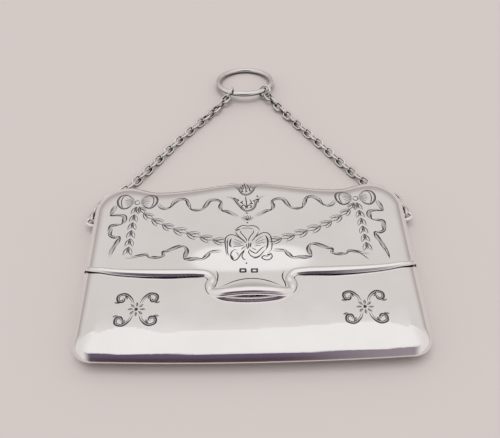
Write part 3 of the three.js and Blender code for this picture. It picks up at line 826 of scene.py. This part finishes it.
CENTRE_BOW = [  # half width of the cut, then its way
    (0.17, [(-4.6, 6.5), (-4.3, 7.3), (-3.3, 8.2), (-2.1, 8.9), (-0.8, 8.6), (1.0, 8.7), (2.2, 8.1),
            (2.9, 6.9), (2.8, 6.1)]),
    (0.16, [(-4.6, 6.5), (-4.0, 5.1), (-2.8, 3.4), (-1.6, 2.0), (-1.2, 1.2)]),
    (0.15, [(-3.1, 7.2), (-2.8, 5.9), (-1.8, 4.2), (-1.1, 2.8), (-1.0, 1.8)]),
    (0.12, [(-2.8, 7.5), (-1.6, 7.7), (0.2, 7.6), (1.2, 7.1)]),
    (0.15, [(2.8, 6.1), (2.1, 4.6), (1.1, 3.0), (0.5, 2.0)]),
    (0.15, [(1.2, 7.0), (1.1, 5.8), (0.1, 4.1), (-0.4, 2.8), (-0.5, 1.7)]),
    (0.26, [(-4.4, 6.5), (-3.7, 7.1), (-3.0, 7.3)]),
    (0.17, [(-1.3, 1.2), (-2.8, 3.1), (-4.3, 4.5), (-5.9, 5.0), (-7.2, 4.1), (-7.6, 2.2), (-7.4, -0.2),
            (-7.2, -2.3), (-6.9, -3.7)]),
    (0.24, [(-5.6, 3.6), (-6.0, 2.3), (-6.1, 0.6), (-5.5, -0.2)]),
    (0.15, [(-6.6, 3.9), (-6.9, 1.9), (-6.9, -0.2), (-6.7, -2.6), (-6.2, -3.5)]),
    (0.15, [(-5.5, -0.2), (-4.4, 0.2), (-2.8, 0.3), (-1.5, 0.7)]),
    (0.18, [(-1.0, -0.4), (-1.9, -1.4), (-2.9, -2.9), (-3.8, -4.5), (-4.8, -5.1), (-5.6, -4.4), (-5.9, -3.1),
            (-5.5, -1.8), (-4.6, -1.1), (-3.6, -1.6)]),
    (0.26, [(-5.8, -3.0), (-5.4, -4.2), (-5.0, -4.7)]),
    (0.15, [(-2.8, -1.2), (-2.1, -0.4), (-1.2, 0.1)]),
    (0.16, [(-1.6, -1.5), (-2.2, -2.4), (-2.5, -3.7), (-1.9, -4.8), (-1.2, -4.8)]),
    (0.12, [(-4.4, -2.1), (-3.8, -2.6), (-3.6, -3.6)]),
    (0.17, [(0.4, 1.9), (1.3, 3.3), (2.5, 4.5), (3.9, 5.5), (5.3, 5.5), (6.2, 4.3), (6.6, 2.1), (6.6, 0.2),
            (6.2, -1.6), (5.2, -2.4)]),
    (0.24, [(4.6, 4.7), (5.2, 3.3), (5.4, 1.6), (5.2, 0), (4.6, -1.6)]),
    (0.17, [(5.1, 0.3), (3.7, -0.5), (2.5, -1.8), (1.7, -2.6), (0.8, -2.2), (0, -1.4), (-0.4, -0.6)]),
    (0.17, [(4.8, -1.0), (3.8, -2.3), (2.7, -3.6), (1.3, -4.1), (0, -3.3), (-0.6, -1.4)]),
    (0.14, [(0.6, -4.5), (2.1, -4.2), (3.2, -3.4)]),
    (0.13, [(0.4, -0.4), (1.2, -1.0), (2.0, -1.5)]),
    (0.18, [(5.2, -2.4), (6.1, -2.7), (6.5, -4.0), (5.7, -5.0), (4.5, -5.1), (3.4, -4.3), (4.0, -3.6),
            (5.1, -3.8), (6.0, -3.3)]),
    (0.26, [(4.9, -3.3), (5.5, -3.2), (6.2, -3.0)]),
    (0.2, [(-0.5, 1.5), (-0.4, 0.4), (-0.6, -0.8)]), (0.15, [(-1.2, 1.2), (-1.0, 0), (-0.8, -1.2)]),
    (0.2, [(0.3, 1.7), (0.1, 0.5), (0.2, -0.4)]), (0.15, [(-0.3, -1.2), (-0.5, -2.2), (-0.2, -3.1)]),
    (0.25, [(-1.8, -1.5), (-2.1, -2.0), (-2.3, -2.5)]),
]
CENTRE_FOLDS = [  # start and end of each fold of the loops
    (-1.8, 1.0, -5.0, 3.2), (-2.4, 0.8, -5.4, 2.1), (-2.8, 0.6, -5.2, 1.1), (1.3, 1.7, 4.2, 4.3),
    (1.4, 1.2, 4.8, 2.9), (1.6, 0.7, 4.9, 1.7), (1.2, 0, 3.3, 0.3),
]
TONGUE_SIDES = [  # the grooves inside the tongue's two necks
    [(-10.3, -8.7), (-9.7, -10.1), (-9.7, -11.8), (-10.0, -13.3), (-10.4, -14.7), (-10.6, -15.4)],
    [(9.9, -9.2), (9.3, -10.6), (9.3, -12.3), (9.8, -13.8), (10.0, -15.0), (9.9, -15.6)],
]
PUNCHES = [(-2.3, -8.9), (1.1, -9.0)]
PUNCH = {"half": (0.8, 0.56), "cut": 0.27}
TONGUE = {"side_cut": 0.18, "dot": (-1.2, -6.2), "dot_half": 0.32, "arch_cut": 0.17, "arch_steps": 15}


def mirrored(cuts, axis):
    return [np.column_stack([2 * axis - cut[:, 0], cut[:, 1:]]) for cut in cuts]


RIBBON = {
    "steps": 7, "widen": 1.35, "cut": 0.14, "ends": 12, "swell": 0.5, "waves": 2.25, "lag": 2,
    "shade": ((-0.2, 0.09), (0.12, 0.06)), "shade_from": 0.5, "shade_to": 0.9,
}


def ribbon(rows):
    """A ribbon's two edges, with shading cuts along its wider turns."""
    line = smooth_line(rows, RIBBON["steps"])
    way = unit(np.gradient(line[:, :2], axis=0))
    side = np.stack([-way[:, 1], way[:, 0]], axis=1)
    share = np.linspace(0, 1, len(line))
    ends = np.minimum(1, RIBBON["ends"] * np.minimum(share, 1 - share))
    wide = line[:, 2:] * RIBBON["widen"]
    cuts = []
    for hand in (-0.5, 0.5):
        wave = np.sin(RIBBON["waves"] * share * len(rows) + RIBBON["lag"] * hand)
        weight = RIBBON["cut"] * (1 + RIBBON["swell"] * wave) * ends
        cuts.append(np.column_stack([line[:, :2] + side * wide * hand, weight]))
    for aside, weight in RIBBON["shade"]:
        shade = weight * smoothstep(RIBBON["shade_from"], RIBBON["shade_to"], wide[:, 0]) * ends
        cuts.append(np.column_stack([line[:, :2] + side * wide * aside, shade]))
    return cuts


def turned_way(way, degrees):
    cos, sin = math.cos(math.radians(degrees)), math.sin(math.radians(degrees))
    return np.array([way[0] * cos - way[1] * sin, way[0] * sin + way[1] * cos])


SPRAY_CUT = 0.16


def sprays(line, leaves):
    """Leaves from each point of a line; a row gives a turn from the way on and a share of the length."""
    cuts = []
    for base, tip in zip(line, line[1:]):
        way = np.asarray(tip, float) - np.asarray(base, float)
        for turn, share in leaves:
            cuts += leaf(base, turned_way(way, turn), share * np.linalg.norm(way), SPRAY_CUT)
    return cuts


FOLD = {"bow": 0.15, "cut": 0.1}


def fold(ax, ay, bx, by):
    return tapered([(ax, ay), ((ax + bx) / 2, (ay + by) / 2 + FOLD["bow"]), (bx, by)], FOLD["cut"])


SWAG_LEAVES = ((22, 1.0), (3, 1.2), (-24, 0.95))
DROP_LEAVES = ((20, 1.05), (0, 0.8), (-20, 1.05))
half_strokes = ribbon(TAIL) + ribbon(UPPER_RIBBON) + ribbon(LOWER_RIBBON)
bow_x, bow_y = SIDE_BOW["knot"]
for flip in (-1, 1):
    loop, rim_line = ([(bow_x + flip * x, bow_y + y) for x, y in rows] for rows in (BOW_LOOP, BOW_RIM))
    half_strokes += doubled(loop, SIDE_BOW["loop_cut"], -SIDE_BOW["apart"] * flip)
    half_strokes.append(tapered(rim_line, SIDE_BOW["rim_cut"]))
    half_strokes += [fold(bow_x + flip * ax, bow_y + ay, bow_x + flip * bx, bow_y + by)
                     for ax, ay, bx, by in BOW_FOLDS]
knot_wide, knot_tall = SIDE_BOW["knot_size"]
knot_turns = np.linspace(0, SIDE_BOW["knot_turn"], SIDE_BOW["knot_steps"])
half_strokes.append(tapered([(bow_x + knot_wide * math.cos(turn), bow_y + knot_tall * math.sin(turn))
                             for turn in knot_turns], SIDE_BOW["rim_cut"]))
half_strokes += sprays(SWAG, SWAG_LEAVES) + sprays(DROP, DROP_LEAVES)
lid_strokes = half_strokes + mirrored(half_strokes, AXIS)
lid_strokes += [tapered(rows, RIBBON["cut"]) for rows in RIGHT_ENDS]
for cup in CUPS:
    lid_strokes += doubled(cup, CUP_CUT["cup"], CUP_CUT["apart"])
lid_strokes += [tapered(rows, CUP_CUT["stem"]) for rows in CUP_STEMS]
scroll_turns, scroll_sizes = (np.linspace(*SCROLL[name], SCROLL["steps"]) for name in ("turn", "size"))
for x, y, hand in CUP_SCROLLS:
    rows = [(x + hand * size * math.cos(turn), y + SCROLL["tall"] * size * math.sin(turn))
            for turn, size in zip(scroll_turns, scroll_sizes)]
    lid_strokes.append(tapered(rows, CUP_CUT["scroll"]))
for place in CUP_DOTS:
    lid_strokes += dot(place, CUP_CUT["dot"])
for turn in PALMETTE["leaves"]:
    lid_strokes += leaf(PALMETTE["foot"], turned_way((0, 1), turn), PALMETTE["length"], PALMETTE["cut"])
for place in PALMETTE["dots"]:
    lid_strokes += dot(place, CUP_CUT["dot"])
lid_strokes += [tapered(rows, half) for half, rows in CENTRE_BOW]
lid_strokes += [fold(*row) for row in CENTRE_FOLDS]
lid_strokes += [tapered(rows, TONGUE["side_cut"]) for rows in TONGUE_SIDES]
lid_strokes += dot(TONGUE["dot"], TONGUE["dot_half"])
wide, tall = PUNCH["half"]
for x, y in PUNCHES:
    corners = [(x + a * wide, y + b * tall) for a, b in ((-1, -1), (1, -1), (1, 1), (-1, 1), (-1, -1))]
    for start, end in zip(corners, corners[1:]):
        lid_strokes.append(np.array([(*start, PUNCH["cut"]), (*end, PUNCH["cut"])]))
arch_x = np.linspace(-LIP["arch_reach"], LIP["arch_reach"], TONGUE["arch_steps"])
lid_strokes.append(tapered([(x, arch_line(x)) for x in arch_x], TONGUE["arch_cut"]))

lid_seam = turn_at(seam_heights("lid"))
lid_skin = Skin()
lid_levels = [lid_seam + (rim_turn - lid_seam) * level for level in np.linspace(0, 1, RISE_LEVELS)]
lid_roll, lid_roll_normals = roll_patch(lid_levels, upper_columns, lid_edge, True)
lid_skin.add(lid_roll, grid_faces(*lid_roll.shape[:2]), lid_roll_normals)
lid_mouth = mouth_line(lid_edge, SHEET_INSET)
lid_border = np.vstack([lid_roll[-1][:, :2], lid_mouth[1:-1]])
sheet, sheet_faces, sheet_normals, sheet_cut = front_sheet(
    lid_border, lid_strokes, lid_height, lid_edge, GUIDE_PITCH["outside"])
lid_skin.add(sheet, sheet_faces[~sheet_cut], sheet_normals)
lid_skin.add(sheet, sheet_faces[sheet_cut], None, 1)
plain, plain_faces, plain_normals, _ = front_sheet(
    lid_border, [], lid_height, lid_edge, GUIDE_PITCH["inside"])
lid_skin.add(plain - WALL * plain_normals, plain_faces, -plain_normals)
lid_skin.add(lid_roll - WALL * lid_roll_normals, grid_faces(*lid_roll.shape[:2]), -lid_roll_normals)
lid_lip, lid_lip_normals = plan_heights(lid_mouth[1:-1], lid_height)
loop = np.vstack([lid_roll[0], lid_roll[1:, -1], lid_lip, lid_roll[:0:-1, 0]])
loop_normals = np.vstack([lid_roll_normals[0], lid_roll_normals[1:, -1], lid_lip_normals,
                          lid_roll_normals[:0:-1, 0]])
add_wall(lid_skin, loop, loop_normals)
lid_silver = polished_silver("lid_silver_polished", *SHEET_TONE)
lid_shell = lid_skin.build("lid_shell", [lid_silver, dark_and_shade_silver])
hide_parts("lid")
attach(lid_shell, "lid")


# Bead of the lid: a drawn silver wire soldered along the lid's lower edge, tapering to its two ends.
# It follows the flared tongue and hangs a little over the front of the case.
BEAD_SIDES = 28


def tube(skin, path, radius, upright, sides, closed=False, slot=0):
    """A round wire along a path; upright is one direction across it, at each point."""
    path = np.asarray(path, float)
    radius = np.broadcast_to(radius, len(path))
    way = np.gradient(path, axis=0)
    if closed:
        way = np.roll(path, -1, axis=0) - np.roll(path, 1, axis=0)
    way = unit(way)
    upright = np.broadcast_to(np.asarray(upright, float), path.shape)
    upright = unit(upright - (upright * way).sum(axis=1, keepdims=True) * way)
    aside = np.cross(way, upright)
    turn = np.linspace(0, 2 * np.pi, sides, endpoint=False)[None, :, None]
    normals = np.cos(turn) * aside[:, None] + np.sin(turn) * upright[:, None]
    points = path[:, None] + normals * radius[:, None, None]
    if closed:
        points = np.vstack([points, points[:1]])
        normals = np.vstack([normals, normals[:1]])
    skin.add(points, grid_faces(*points.shape[:2], closed=True), normals, slot)


DOME_TIP = 0.02


def domed(path, radius, steps=5):
    """The same wire with a rounded end at both ends."""
    turns = np.linspace(np.pi / 2, 0, steps, endpoint=False)
    radius = np.broadcast_to(radius, len(path)).astype(float)
    start = unit(path[0] - path[1])
    end = unit(path[-1] - path[-2])
    heads = [path[0] + start * radius[0] * math.sin(turn) for turn in turns]
    tails = [path[-1] + end * radius[-1] * math.sin(turn) for turn in turns[::-1]]
    widths = np.maximum(np.cos(turns), DOME_TIP)
    widths = np.concatenate([radius[0] * widths, radius, radius[-1] * widths[::-1]])
    return np.vstack([heads, path, tails]), widths


bead_x, bead_y = lid_edge[1:-1].T
bead_z = np.maximum(lid_height(bead_x, bead_y), SEAM_Z["lid"]) + BEAD["proud"]
bead_path, bead_widths = domed(np.stack([bead_x, bead_y, bead_z], axis=1), bead_radius(bead_x))
bead_skin = Skin()
tube(bead_skin, bead_path, bead_widths, (0, 0, 1), BEAD_SIDES)
lid_bead = bead_skin.build("lid_bead", [lid_silver])
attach(lid_bead, "lid")


# Hinge: three short barrels of drawn tube along the top, two soldered to the case and one to the lid.
# A plain pin of silver wire runs through all three, with a rounded head at each end.
BARREL_SIDES = 32
PIN_SIDES = 20
PIN_SHARE = 0.985
BARREL_EDGE = 0.12


def turned(skin, profile, y, z, sides):
    """A round part on an axis along X, from a closed profile of (x, radius)."""
    turn = np.linspace(0, 2 * np.pi, sides, endpoint=False)
    ring = np.stack([np.zeros(sides), np.cos(turn), np.sin(turn)], axis=1)
    for (ax, ar), (bx, br) in zip(profile, profile[1:] + profile[:1]):
        slope = unit(np.array([-(br - ar), bx - ax]))
        points = np.stack([(ax, y, z) + ring * ar, (bx, y, z) + ring * br])
        normals = np.broadcast_to(ring * slope[1] + np.array([slope[0], 0, 0]), points.shape)
        skin.add(points, grid_faces(2, sides, closed=True), normals)


def barrel(skin, start, end):
    edge = BARREL_EDGE
    radius, bore = HINGE["radius"], HINGE["bore"]
    turned(skin, [(start, bore), (start, radius - edge), (start + edge, radius), (end - edge, radius),
                  (end, radius - edge), (end, bore)], HINGE["y"], HINGE["z"], BARREL_SIDES)


# The wires' tones: dull, bright, and how bright the painted shade on their undersides is.
WIRE_TONE_AND_UNDERSIDE_SHADE = ((0.7, 0.68, 0.67), (0.92, 0.9, 0.89), 0.2)
hinge_silver = polished_silver("hinge_silver_worn_shaded_below", *WIRE_TONE_AND_UNDERSIDE_SHADE)
barrels_skin = Skin()
for side in (-1, 1):
    ends = sorted((side * (HINGE["middle"] + HINGE["gap"]), side * HINGE["half"]))
    barrel(barrels_skin, *ends)
case_barrels = barrels_skin.build("case_hinge_barrels", [hinge_silver])
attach(case_barrels, "case")

lid_barrel_skin = Skin()
barrel(lid_barrel_skin, -HINGE["middle"] + HINGE["gap"], HINGE["middle"] - HINGE["gap"])
lid_barrel = lid_barrel_skin.build("lid_hinge_barrel", [hinge_silver])
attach(lid_barrel, "lid")

pin_line = np.array([(x, HINGE["y"], HINGE["z"]) for x in np.linspace(-HINGE["half"], HINGE["half"], 3)])
pin_skin = Skin()
pin_path, pin_widths = domed(pin_line * (PIN_SHARE, 1, 1), HINGE["pin"])
tube(pin_skin, pin_path, pin_widths, (0, 0, 1), PIN_SIDES)
hinge_pin = pin_skin.build("hinge_pin_wire", [hinge_silver])
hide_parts("hinge_pin")
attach(hinge_pin, "case")


# Eyelets: a loop of round silver wire near the top of each side of the case, to hold the chain's ring.
# Each is bent to a U and soldered flat to the rolled edge by its two ends.
EYELET = {"y": 18.7, "z": 3.6, "wire": 0.48, "steps": 12, "sides": 18}
EYELET_ARC = [(49.1, 1.65), (51.4, 1.6), (52.9, 0), (51.4, -1.6), (49.1, -1.65)]  # x, y from its middle
HANDS = ((-1, "left"), (1, "right"))
for side, hand in HANDS:
    path = smooth_line([(side * x, EYELET["y"] + y, EYELET["z"]) for x, y in EYELET_ARC], EYELET["steps"])
    skin = Skin()
    tube(skin, path, EYELET["wire"], (0, 0, 1), EYELET["sides"])
    eyelet = skin.build(f"eyelet_{hand}", [case_silver])
    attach(eyelet, "case")


# Catch: a springy lug of sheet silver inside the front of the case, over which the lid's tongue snaps.
# Its thicker foot is soldered to the inside of the front.
CATCH = {
    "width": 9, "foot": -24, "foot_top": -21.5, "tip": -14.5, "thickness": 0.7, "bevel": 0.12, "below": 0.3,
    "into": 0.1,
}


def block(skin, low, high, bevel):
    """A small block with its edges and corners taken off, one flat face for each way out of it."""
    low, high = np.array(low, float), np.array(high, float)
    middle, half = (low + high) / 2, (high - low) / 2
    for way in itertools.product((-1, 0, 1), repeat=3):
        rows = [middle + np.array(end) * (half - bevel * (np.arange(3) != full))
                for end in itertools.product((-1, 1), repeat=3) for full in range(3)
                if way[full] and all(step in (0, sign) for step, sign in zip(way, end))]
        if not rows:
            continue
        spokes = np.array(rows) - np.mean(rows, axis=0)
        aside = np.cross(unit(np.array(way, float)), unit(spokes[0]))
        order = np.argsort(np.arctan2(spokes @ aside, spokes @ unit(spokes[0])))
        skin.add(rows, order[None])


inside = THICKNESS - WALL
catch_top = inside - CATCH["below"]
half = CATCH["width"] / 2
catch_skin = Skin()
block(catch_skin, (-half, CATCH["foot"], catch_top - CATCH["thickness"]), (half, CATCH["tip"], catch_top),
      CATCH["bevel"])
block(catch_skin, (-half, CATCH["foot"], catch_top - CATCH["bevel"]),
      (half, CATCH["foot_top"], inside + CATCH["into"]), CATCH["bevel"])
catch_lug = catch_skin.build("catch_lug", [case_silver])
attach(catch_lug, "case")


# Side rings: a jump ring of round silver wire through each eyelet, bent up from wire and closed.
# Each stands on edge and holds the first link of a chain.
SIDE_RING = {"x": 51.2, "y": 20.4, "z": 2.9, "radius": 1.95, "wire": 0.43, "steps": 48, "sides": 16}
NEAR_UPRIGHT = 0.9
# The chain's silver carries painted shade on the undersides of its wires.
chain_silver = polished_silver("chain_silver_worn_shaded_below", *WIRE_TONE_AND_UNDERSIDE_SHADE)


def wire_ring(name, centre, normal, sizes, material):
    normal = unit(np.asarray(normal, float))
    level = (0, 0, 1) if abs(normal[2]) < NEAR_UPRIGHT else (0, 1, 0)
    first = unit(np.cross(normal, level))
    second = np.cross(normal, first)
    turn = np.linspace(0, 2 * np.pi, sizes["steps"], endpoint=False)[:, None]
    path = np.asarray(centre) + sizes["radius"] * (np.cos(turn) * first + np.sin(turn) * second)
    skin = Skin()
    tube(skin, path, sizes["wire"], normal, sizes["sides"], True)
    return skin.build(name, [material])


for side, hand in HANDS:
    centre = (side * SIDE_RING["x"], SIDE_RING["y"], SIDE_RING["z"])
    ring = wire_ring(f"side_ring_wire_{hand}", centre, (1, 0, 0), SIDE_RING, chain_silver)
    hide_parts(f"side_ring_{hand}")
    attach(ring, "case")


# Finger ring: a plain ring of stout round silver wire, bent up and soldered, that joins the two chains.
# It lies on the table, slightly tilted where the ring links lift it.
FINGER_RING = {
    "radius": 10.6, "wire": 0.97, "x": -0.5, "y": 97.7, "tilt": math.radians(8.5), "steps": 120, "sides": 28,
}
tilt = FINGER_RING["tilt"]
ring_centre = np.array([FINGER_RING["x"], FINGER_RING["y"],
                        FINGER_RING["wire"] + FINGER_RING["radius"] * math.sin(tilt)])
# The ring's silver carries painted shade on its underside.
ring_silver = polished_silver("ring_silver_worn_shaded_below", *WIRE_TONE_AND_UNDERSIDE_SHADE)
finger_ring = wire_ring("finger_ring_wire", ring_centre, (0, math.sin(tilt), math.cos(tilt)), FINGER_RING,
                        ring_silver)
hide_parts("finger_ring")
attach(finger_ring, "case")


# Ring links: a jump ring of silver wire at each side, larger than the side rings, bent up and closed.
# It hangs on the finger ring and holds the last link of a chain.
RING_LINK = {
    "radius": 2.35, "wire": 0.45, "shift": 0.6, "fall": -0.45, "pull": (0.52, -0.8), "steps": 48, "sides": 16,
}
RING_HOLD = {-1: {"reach": 5.6, "roll": -0.38}, 1: {"reach": 7.4, "roll": -0.6}}
LINK = {"length": 4.85, "width": 3.45, "wire": 0.46, "pitch": 3.25, "lean": math.pi / 4, "turning": 6}
CHAIN_GAP = 0.3


def rotated(vector, axis, turn):
    cos, sin = math.cos(turn), math.sin(turn)
    return vector * cos + np.cross(axis, vector) * sin + axis * (axis @ vector) * (1 - cos)


def hold(side):
    """Where a ring link hangs on the finger ring, its normal, and where the chain leaves it."""
    reach = side * RING_HOLD[side]["reach"]
    near = math.sqrt(FINGER_RING["radius"] ** 2 - reach**2)
    wire = ring_centre + np.array([reach, -near * math.cos(tilt), near * math.sin(tilt)])
    way = unit(np.array([near, reach * math.cos(tilt), 0]))
    pull = unit(np.array([side * RING_LINK["pull"][0], RING_LINK["pull"][1], RING_LINK["fall"]]))
    centre = wire + RING_LINK["shift"] * pull
    normal = rotated(unit(way - (way @ pull) * pull), pull, RING_HOLD[side]["roll"])
    end = centre + (RING_LINK["radius"] - RING_LINK["wire"] - LINK["wire"] - CHAIN_GAP) * pull
    return centre, normal, end


for side, hand in HANDS:
    centre, normal, _ = hold(side)
    link = wire_ring(f"ring_link_wire_{hand}", centre, normal, RING_LINK, chain_silver)
    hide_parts(f"ring_link_{hand}")
    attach(link, "case")


# Chains: oval links of round silver wire, each turned a quarter from the next and soldered shut.
# They lie on the table beside the upper corners and run from the side rings to the ring links.
LIE_Z = 1.42
CHAIN_WAY = {
    -1: [(-50.7, 26), (-48.3, 30.6), (-43.6, 34.8), (-39.3, 40.2), (-25, 63)],
    1: [(50.7, 26), (48.3, 30.6), (43.6, 34.4), (39.4, 39), (24.6, 62.2)],
}
CHAIN_LIFT = {"from": 0.7, "rise": 0.2}
CURVE_STEPS = 300
LINK_STEPS = 28
LINK_SIDES = 16
# The inside of each link's wire, towards its middle, takes the dark material as painted shade between the
# links.
LINK_INSIDE = -0.5
wire_turn = (np.arange(LINK_SIDES) + 0.5) * 2 * np.pi / LINK_SIDES
link_inside_painted_shade = np.tile(np.cos(wire_turn) < LINK_INSIDE, LINK_STEPS).astype(int)


def chain_curve(side):
    reach = SIDE_RING["radius"] - SIDE_RING["wire"] - LINK["wire"] - CHAIN_GAP
    start = (side * SIDE_RING["x"], SIDE_RING["y"] + reach, SIDE_RING["z"])
    end = hold(side)[2]
    way = [np.array(row, float) for row in CHAIN_WAY[side]]
    before = way[-1] + CHAIN_LIFT["from"] * (end[:2] - way[-1])
    rows = [(*row, LIE_Z) for row in way] + [(*before, LIE_Z + CHAIN_LIFT["rise"])]
    return smooth_line([start, *rows, tuple(end)], CURVE_STEPS)


def link_path():
    """The oval of a link: two half circles drawn apart."""
    turn = np.linspace(0, 2 * np.pi, LINK_STEPS, endpoint=False) + np.pi / LINK_STEPS
    bend = LINK["width"] / 2 - LINK["wire"]
    apart = (LINK["length"] - LINK["width"]) / 2
    return bend * np.cos(turn) + apart * np.sign(np.cos(turn)), bend * np.sin(turn)


link_u, link_v = link_path()
link_half = LINK["width"] / 2 - LINK["wire"]
for side, hand in HANDS:
    curve = chain_curve(side)
    gone = np.concatenate([[0], np.cumsum(np.linalg.norm(np.diff(curve, axis=0), axis=1))])
    first = LINK["length"] / 2 - LINK["wire"]
    count = round((gone[-1] - 2 * first) / LINK["pitch"]) + 1
    pitch = (gone[-1] - 2 * first) / (count - 1)
    leans = [LINK["lean"] if number % 2 else -LINK["lean"] for number in range(count)]
    skin = Skin()
    for number, lean in enumerate(leans):
        at = first + number * pitch
        place, ahead, behind = (np.array([np.interp(gone_to, gone, curve[:, axis]) for axis in range(3)])
                                for gone_to in (at, at + first, at - first))
        along = unit(ahead - behind)
        fade_in = max(0, 1 - number / LINK["turning"])
        fade_out = max(0, 1 - (count - 1 - number) / LINK["turning"])
        twist = -leans[0] * fade_in - leans[-1] * fade_out
        lift = link_half * (math.sin(LINK["lean"] + abs(twist)) - math.sin(LINK["lean"]))
        place[2] = max(place[2], LIE_Z + lift)
        across = rotated(unit(np.cross((0, 0, 1), along)), along, lean + twist)
        path = place + np.outer(link_u, along) + np.outer(link_v, across)
        tube(skin, path, LINK["wire"], np.cross(along, across), LINK_SIDES, True, link_inside_painted_shade)
    chain = skin.build(f"chain_links_{hand}", [chain_silver, dark_and_shade_silver])
    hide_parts(f"chain_{hand}")
    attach(chain, "case")


# Table and studio: a pale matt board lies under the case, in soft light from a white tent.
# The tent has a grey backdrop behind and is open towards a dim room in front, and a lamp shines from above.
FLOOR = {"half": 1.6, "drop": -0.05}
BOARD = {"Base Color": (0.573, 0.528, 0.511, 1), "Roughness": 0.9, "Specular IOR Level": 0.1}
floor_mesh = bpy.data.meshes.new("table")
floor_mesh.from_pydata([(FLOOR["half"] * x, FLOOR["half"] * y, FLOOR["drop"] * MM)
                        for x, y in ((-1, -1), (1, -1), (1, 1), (-1, 1))], [], [(0, 1, 2, 3)])
floor = bpy.data.objects.new("table", floor_mesh)
bpy.context.collection.objects.link(floor)
board = bpy.data.materials.new("pale_board")
board.use_nodes = True
for name, value in BOARD.items():
    board.node_tree.nodes["Principled BSDF"].inputs[name].default_value = value
floor_mesh.materials.append(board)

world = bpy.data.worlds.new("studio_tent")
bpy.context.scene.world = world
world.use_nodes = True
tree = world.node_tree
background = tree.nodes["Background"]
TENT_WHITE, TENT_SIDE = (0.9, 0.875, 0.865, 1), (0.76, 0.73, 0.72, 1)
BACKDROP_FOOT, BACKDROP = (0.44, 0.395, 0.385, 1), (0.69, 0.655, 0.64, 1)
DIM_ROOM, DIM_ROOM_LOW = (0.125, 0.095, 0.155, 1), (0.075, 0.045, 0.05, 1)
DIM_ROOM_SIDE = (0.3, 0.25, 0.285, 1)
# Where each tone gives way to the next: a turn up and over from behind, or a share of the way to the side
DIM_LOW = (math.radians(150), math.radians(176))
DIM_SIDE = (0.04, 0.26)
BACKDROP_RISE = (math.radians(5), math.radians(32))
BACKDROP_BLUR, ROOM_BLUR = 0.02, 0.05
BACKDROP_TOP = (math.radians(54) - BACKDROP_BLUR, math.radians(54) + BACKDROP_BLUR)
ROOM_TOP = (math.radians(133) - ROOM_BLUR, math.radians(133) + ROOM_BLUR)
ROOM_SIDE = (0.75, 0.24)
TENT_SIDE_FROM_TO = (0.25, 0.9)


def ease(source, from_to, place):
    """A mask that eases from 0 to 1 between two values."""
    node = add_node(tree, "ShaderNodeMapRange", place, interpolation_type="SMOOTHSTEP",
                    From_Min=from_to[0], From_Max=from_to[1])
    tree.links.new(source, node.inputs["Value"])
    return node.outputs["Result"]


def blend(mask, first, second, place):
    """One tone giving way to another; each is a colour or a node's output."""
    node = add_node(tree, "ShaderNodeMix", place, data_type="RGBA")
    tree.links.new(mask, node.inputs["Factor"])
    for socket, tone in ((6, first), (7, second)):
        if isinstance(tone, tuple):
            node.inputs[socket].default_value = tone
        else:
            tree.links.new(tone, node.inputs[socket])
    return node.outputs[2]


def worked_out(operation, sources, place):
    node = add_node(tree, "ShaderNodeMath", place, operation=operation)
    for socket, source in enumerate(sources):
        tree.links.new(source, node.inputs[socket])
    return node.outputs[0]


looking = add_node(tree, "ShaderNodeTexCoord", (-1200, 0))
split = add_node(tree, "ShaderNodeSeparateXYZ", (-1000, 0))
tree.links.new(looking.outputs["Generated"], split.inputs["Vector"])
over = worked_out("ARCTAN2", (split.outputs["Z"], split.outputs["Y"]), (-800, 100))
aside = worked_out("ABSOLUTE", (split.outputs["X"],), (-800, -150))
cloth = blend(ease(aside, TENT_SIDE_FROM_TO, (-600, 450)), TENT_WHITE, TENT_SIDE, (-400, 300))
behind = blend(ease(over, BACKDROP_RISE, (-600, -50)), BACKDROP_FOOT, BACKDROP, (-400, -50))
tent = blend(ease(over, BACKDROP_TOP, (-600, 200)), behind, cloth, (-200, 100))
dim = blend(ease(over, DIM_LOW, (-600, -800)), DIM_ROOM, DIM_ROOM_LOW, (-400, -700))
dim = blend(ease(split.outputs["X"], DIM_SIDE, (-600, -1050)), dim, DIM_ROOM_SIDE, (-200, -700))
masks = (ease(over, ROOM_TOP, (-600, -300)), ease(aside, ROOM_SIDE, (-600, -550)))
all_round = blend(worked_out("MULTIPLY", masks, (-400, -400)), tent, dim, (0, 0))
tree.links.new(all_round, background.inputs["Color"])
background.inputs["Strength"].default_value = 1.0

LAMP = {"from": (-0.03, -0.2, 1.0), "spread": math.radians(38), "power": 1.25}
lamp_light = bpy.data.lights.new("window_lamp", "SUN")
lamp_light.angle = LAMP["spread"]
lamp_light.energy = LAMP["power"]
lamp = bpy.data.objects.new("window_lamp", lamp_light)
lamp.rotation_euler = (-Vector(LAMP["from"])).to_track_quat("-Z", "Y").to_euler()
lamp.visible_glossy = False
bpy.context.collection.objects.link(lamp)


# Camera: held in front of the foot of the case, looking down at it at about forty-five degrees.
# Its long lens takes in the case and the whole of the chain.
CAMERA = {"place": (-1.2244, -157.188, 177.875), "pitch": 44.752, "yaw": -0.469, "roll": 0.785}
LENS = 54.72
pitch, yaw, roll = (math.radians(CAMERA[name]) for name in ("pitch", "yaw", "roll"))
level_right = np.array([math.cos(yaw), math.sin(yaw), 0])
level_ahead = np.array([-math.sin(yaw), math.cos(yaw), 0])
ahead = math.cos(pitch) * level_ahead - math.sin(pitch) * np.array([0, 0, 1])
up = math.sin(pitch) * level_ahead + math.cos(pitch) * np.array([0, 0, 1])
camera_x = math.cos(roll) * level_right - math.sin(roll) * up
camera_y = math.sin(roll) * level_right + math.cos(roll) * up
camera = bpy.data.objects.new("camera", bpy.data.cameras.new("camera"))
camera.data.sensor_fit = "HORIZONTAL"
camera.data.sensor_width = 36
camera.data.lens = LENS
camera.data.clip_start = 0.01
placed = Matrix.Identity(4)
for row in range(3):
    placed[row][0], placed[row][1], placed[row][2] = camera_x[row], camera_y[row], -ahead[row]
    placed[row][3] = CAMERA["place"][row] * MM
camera.matrix_world = placed
bpy.context.collection.objects.link(camera)
bpy.context.scene.camera = camera
bpy.context.scene.view_settings.view_transform = "Standard"
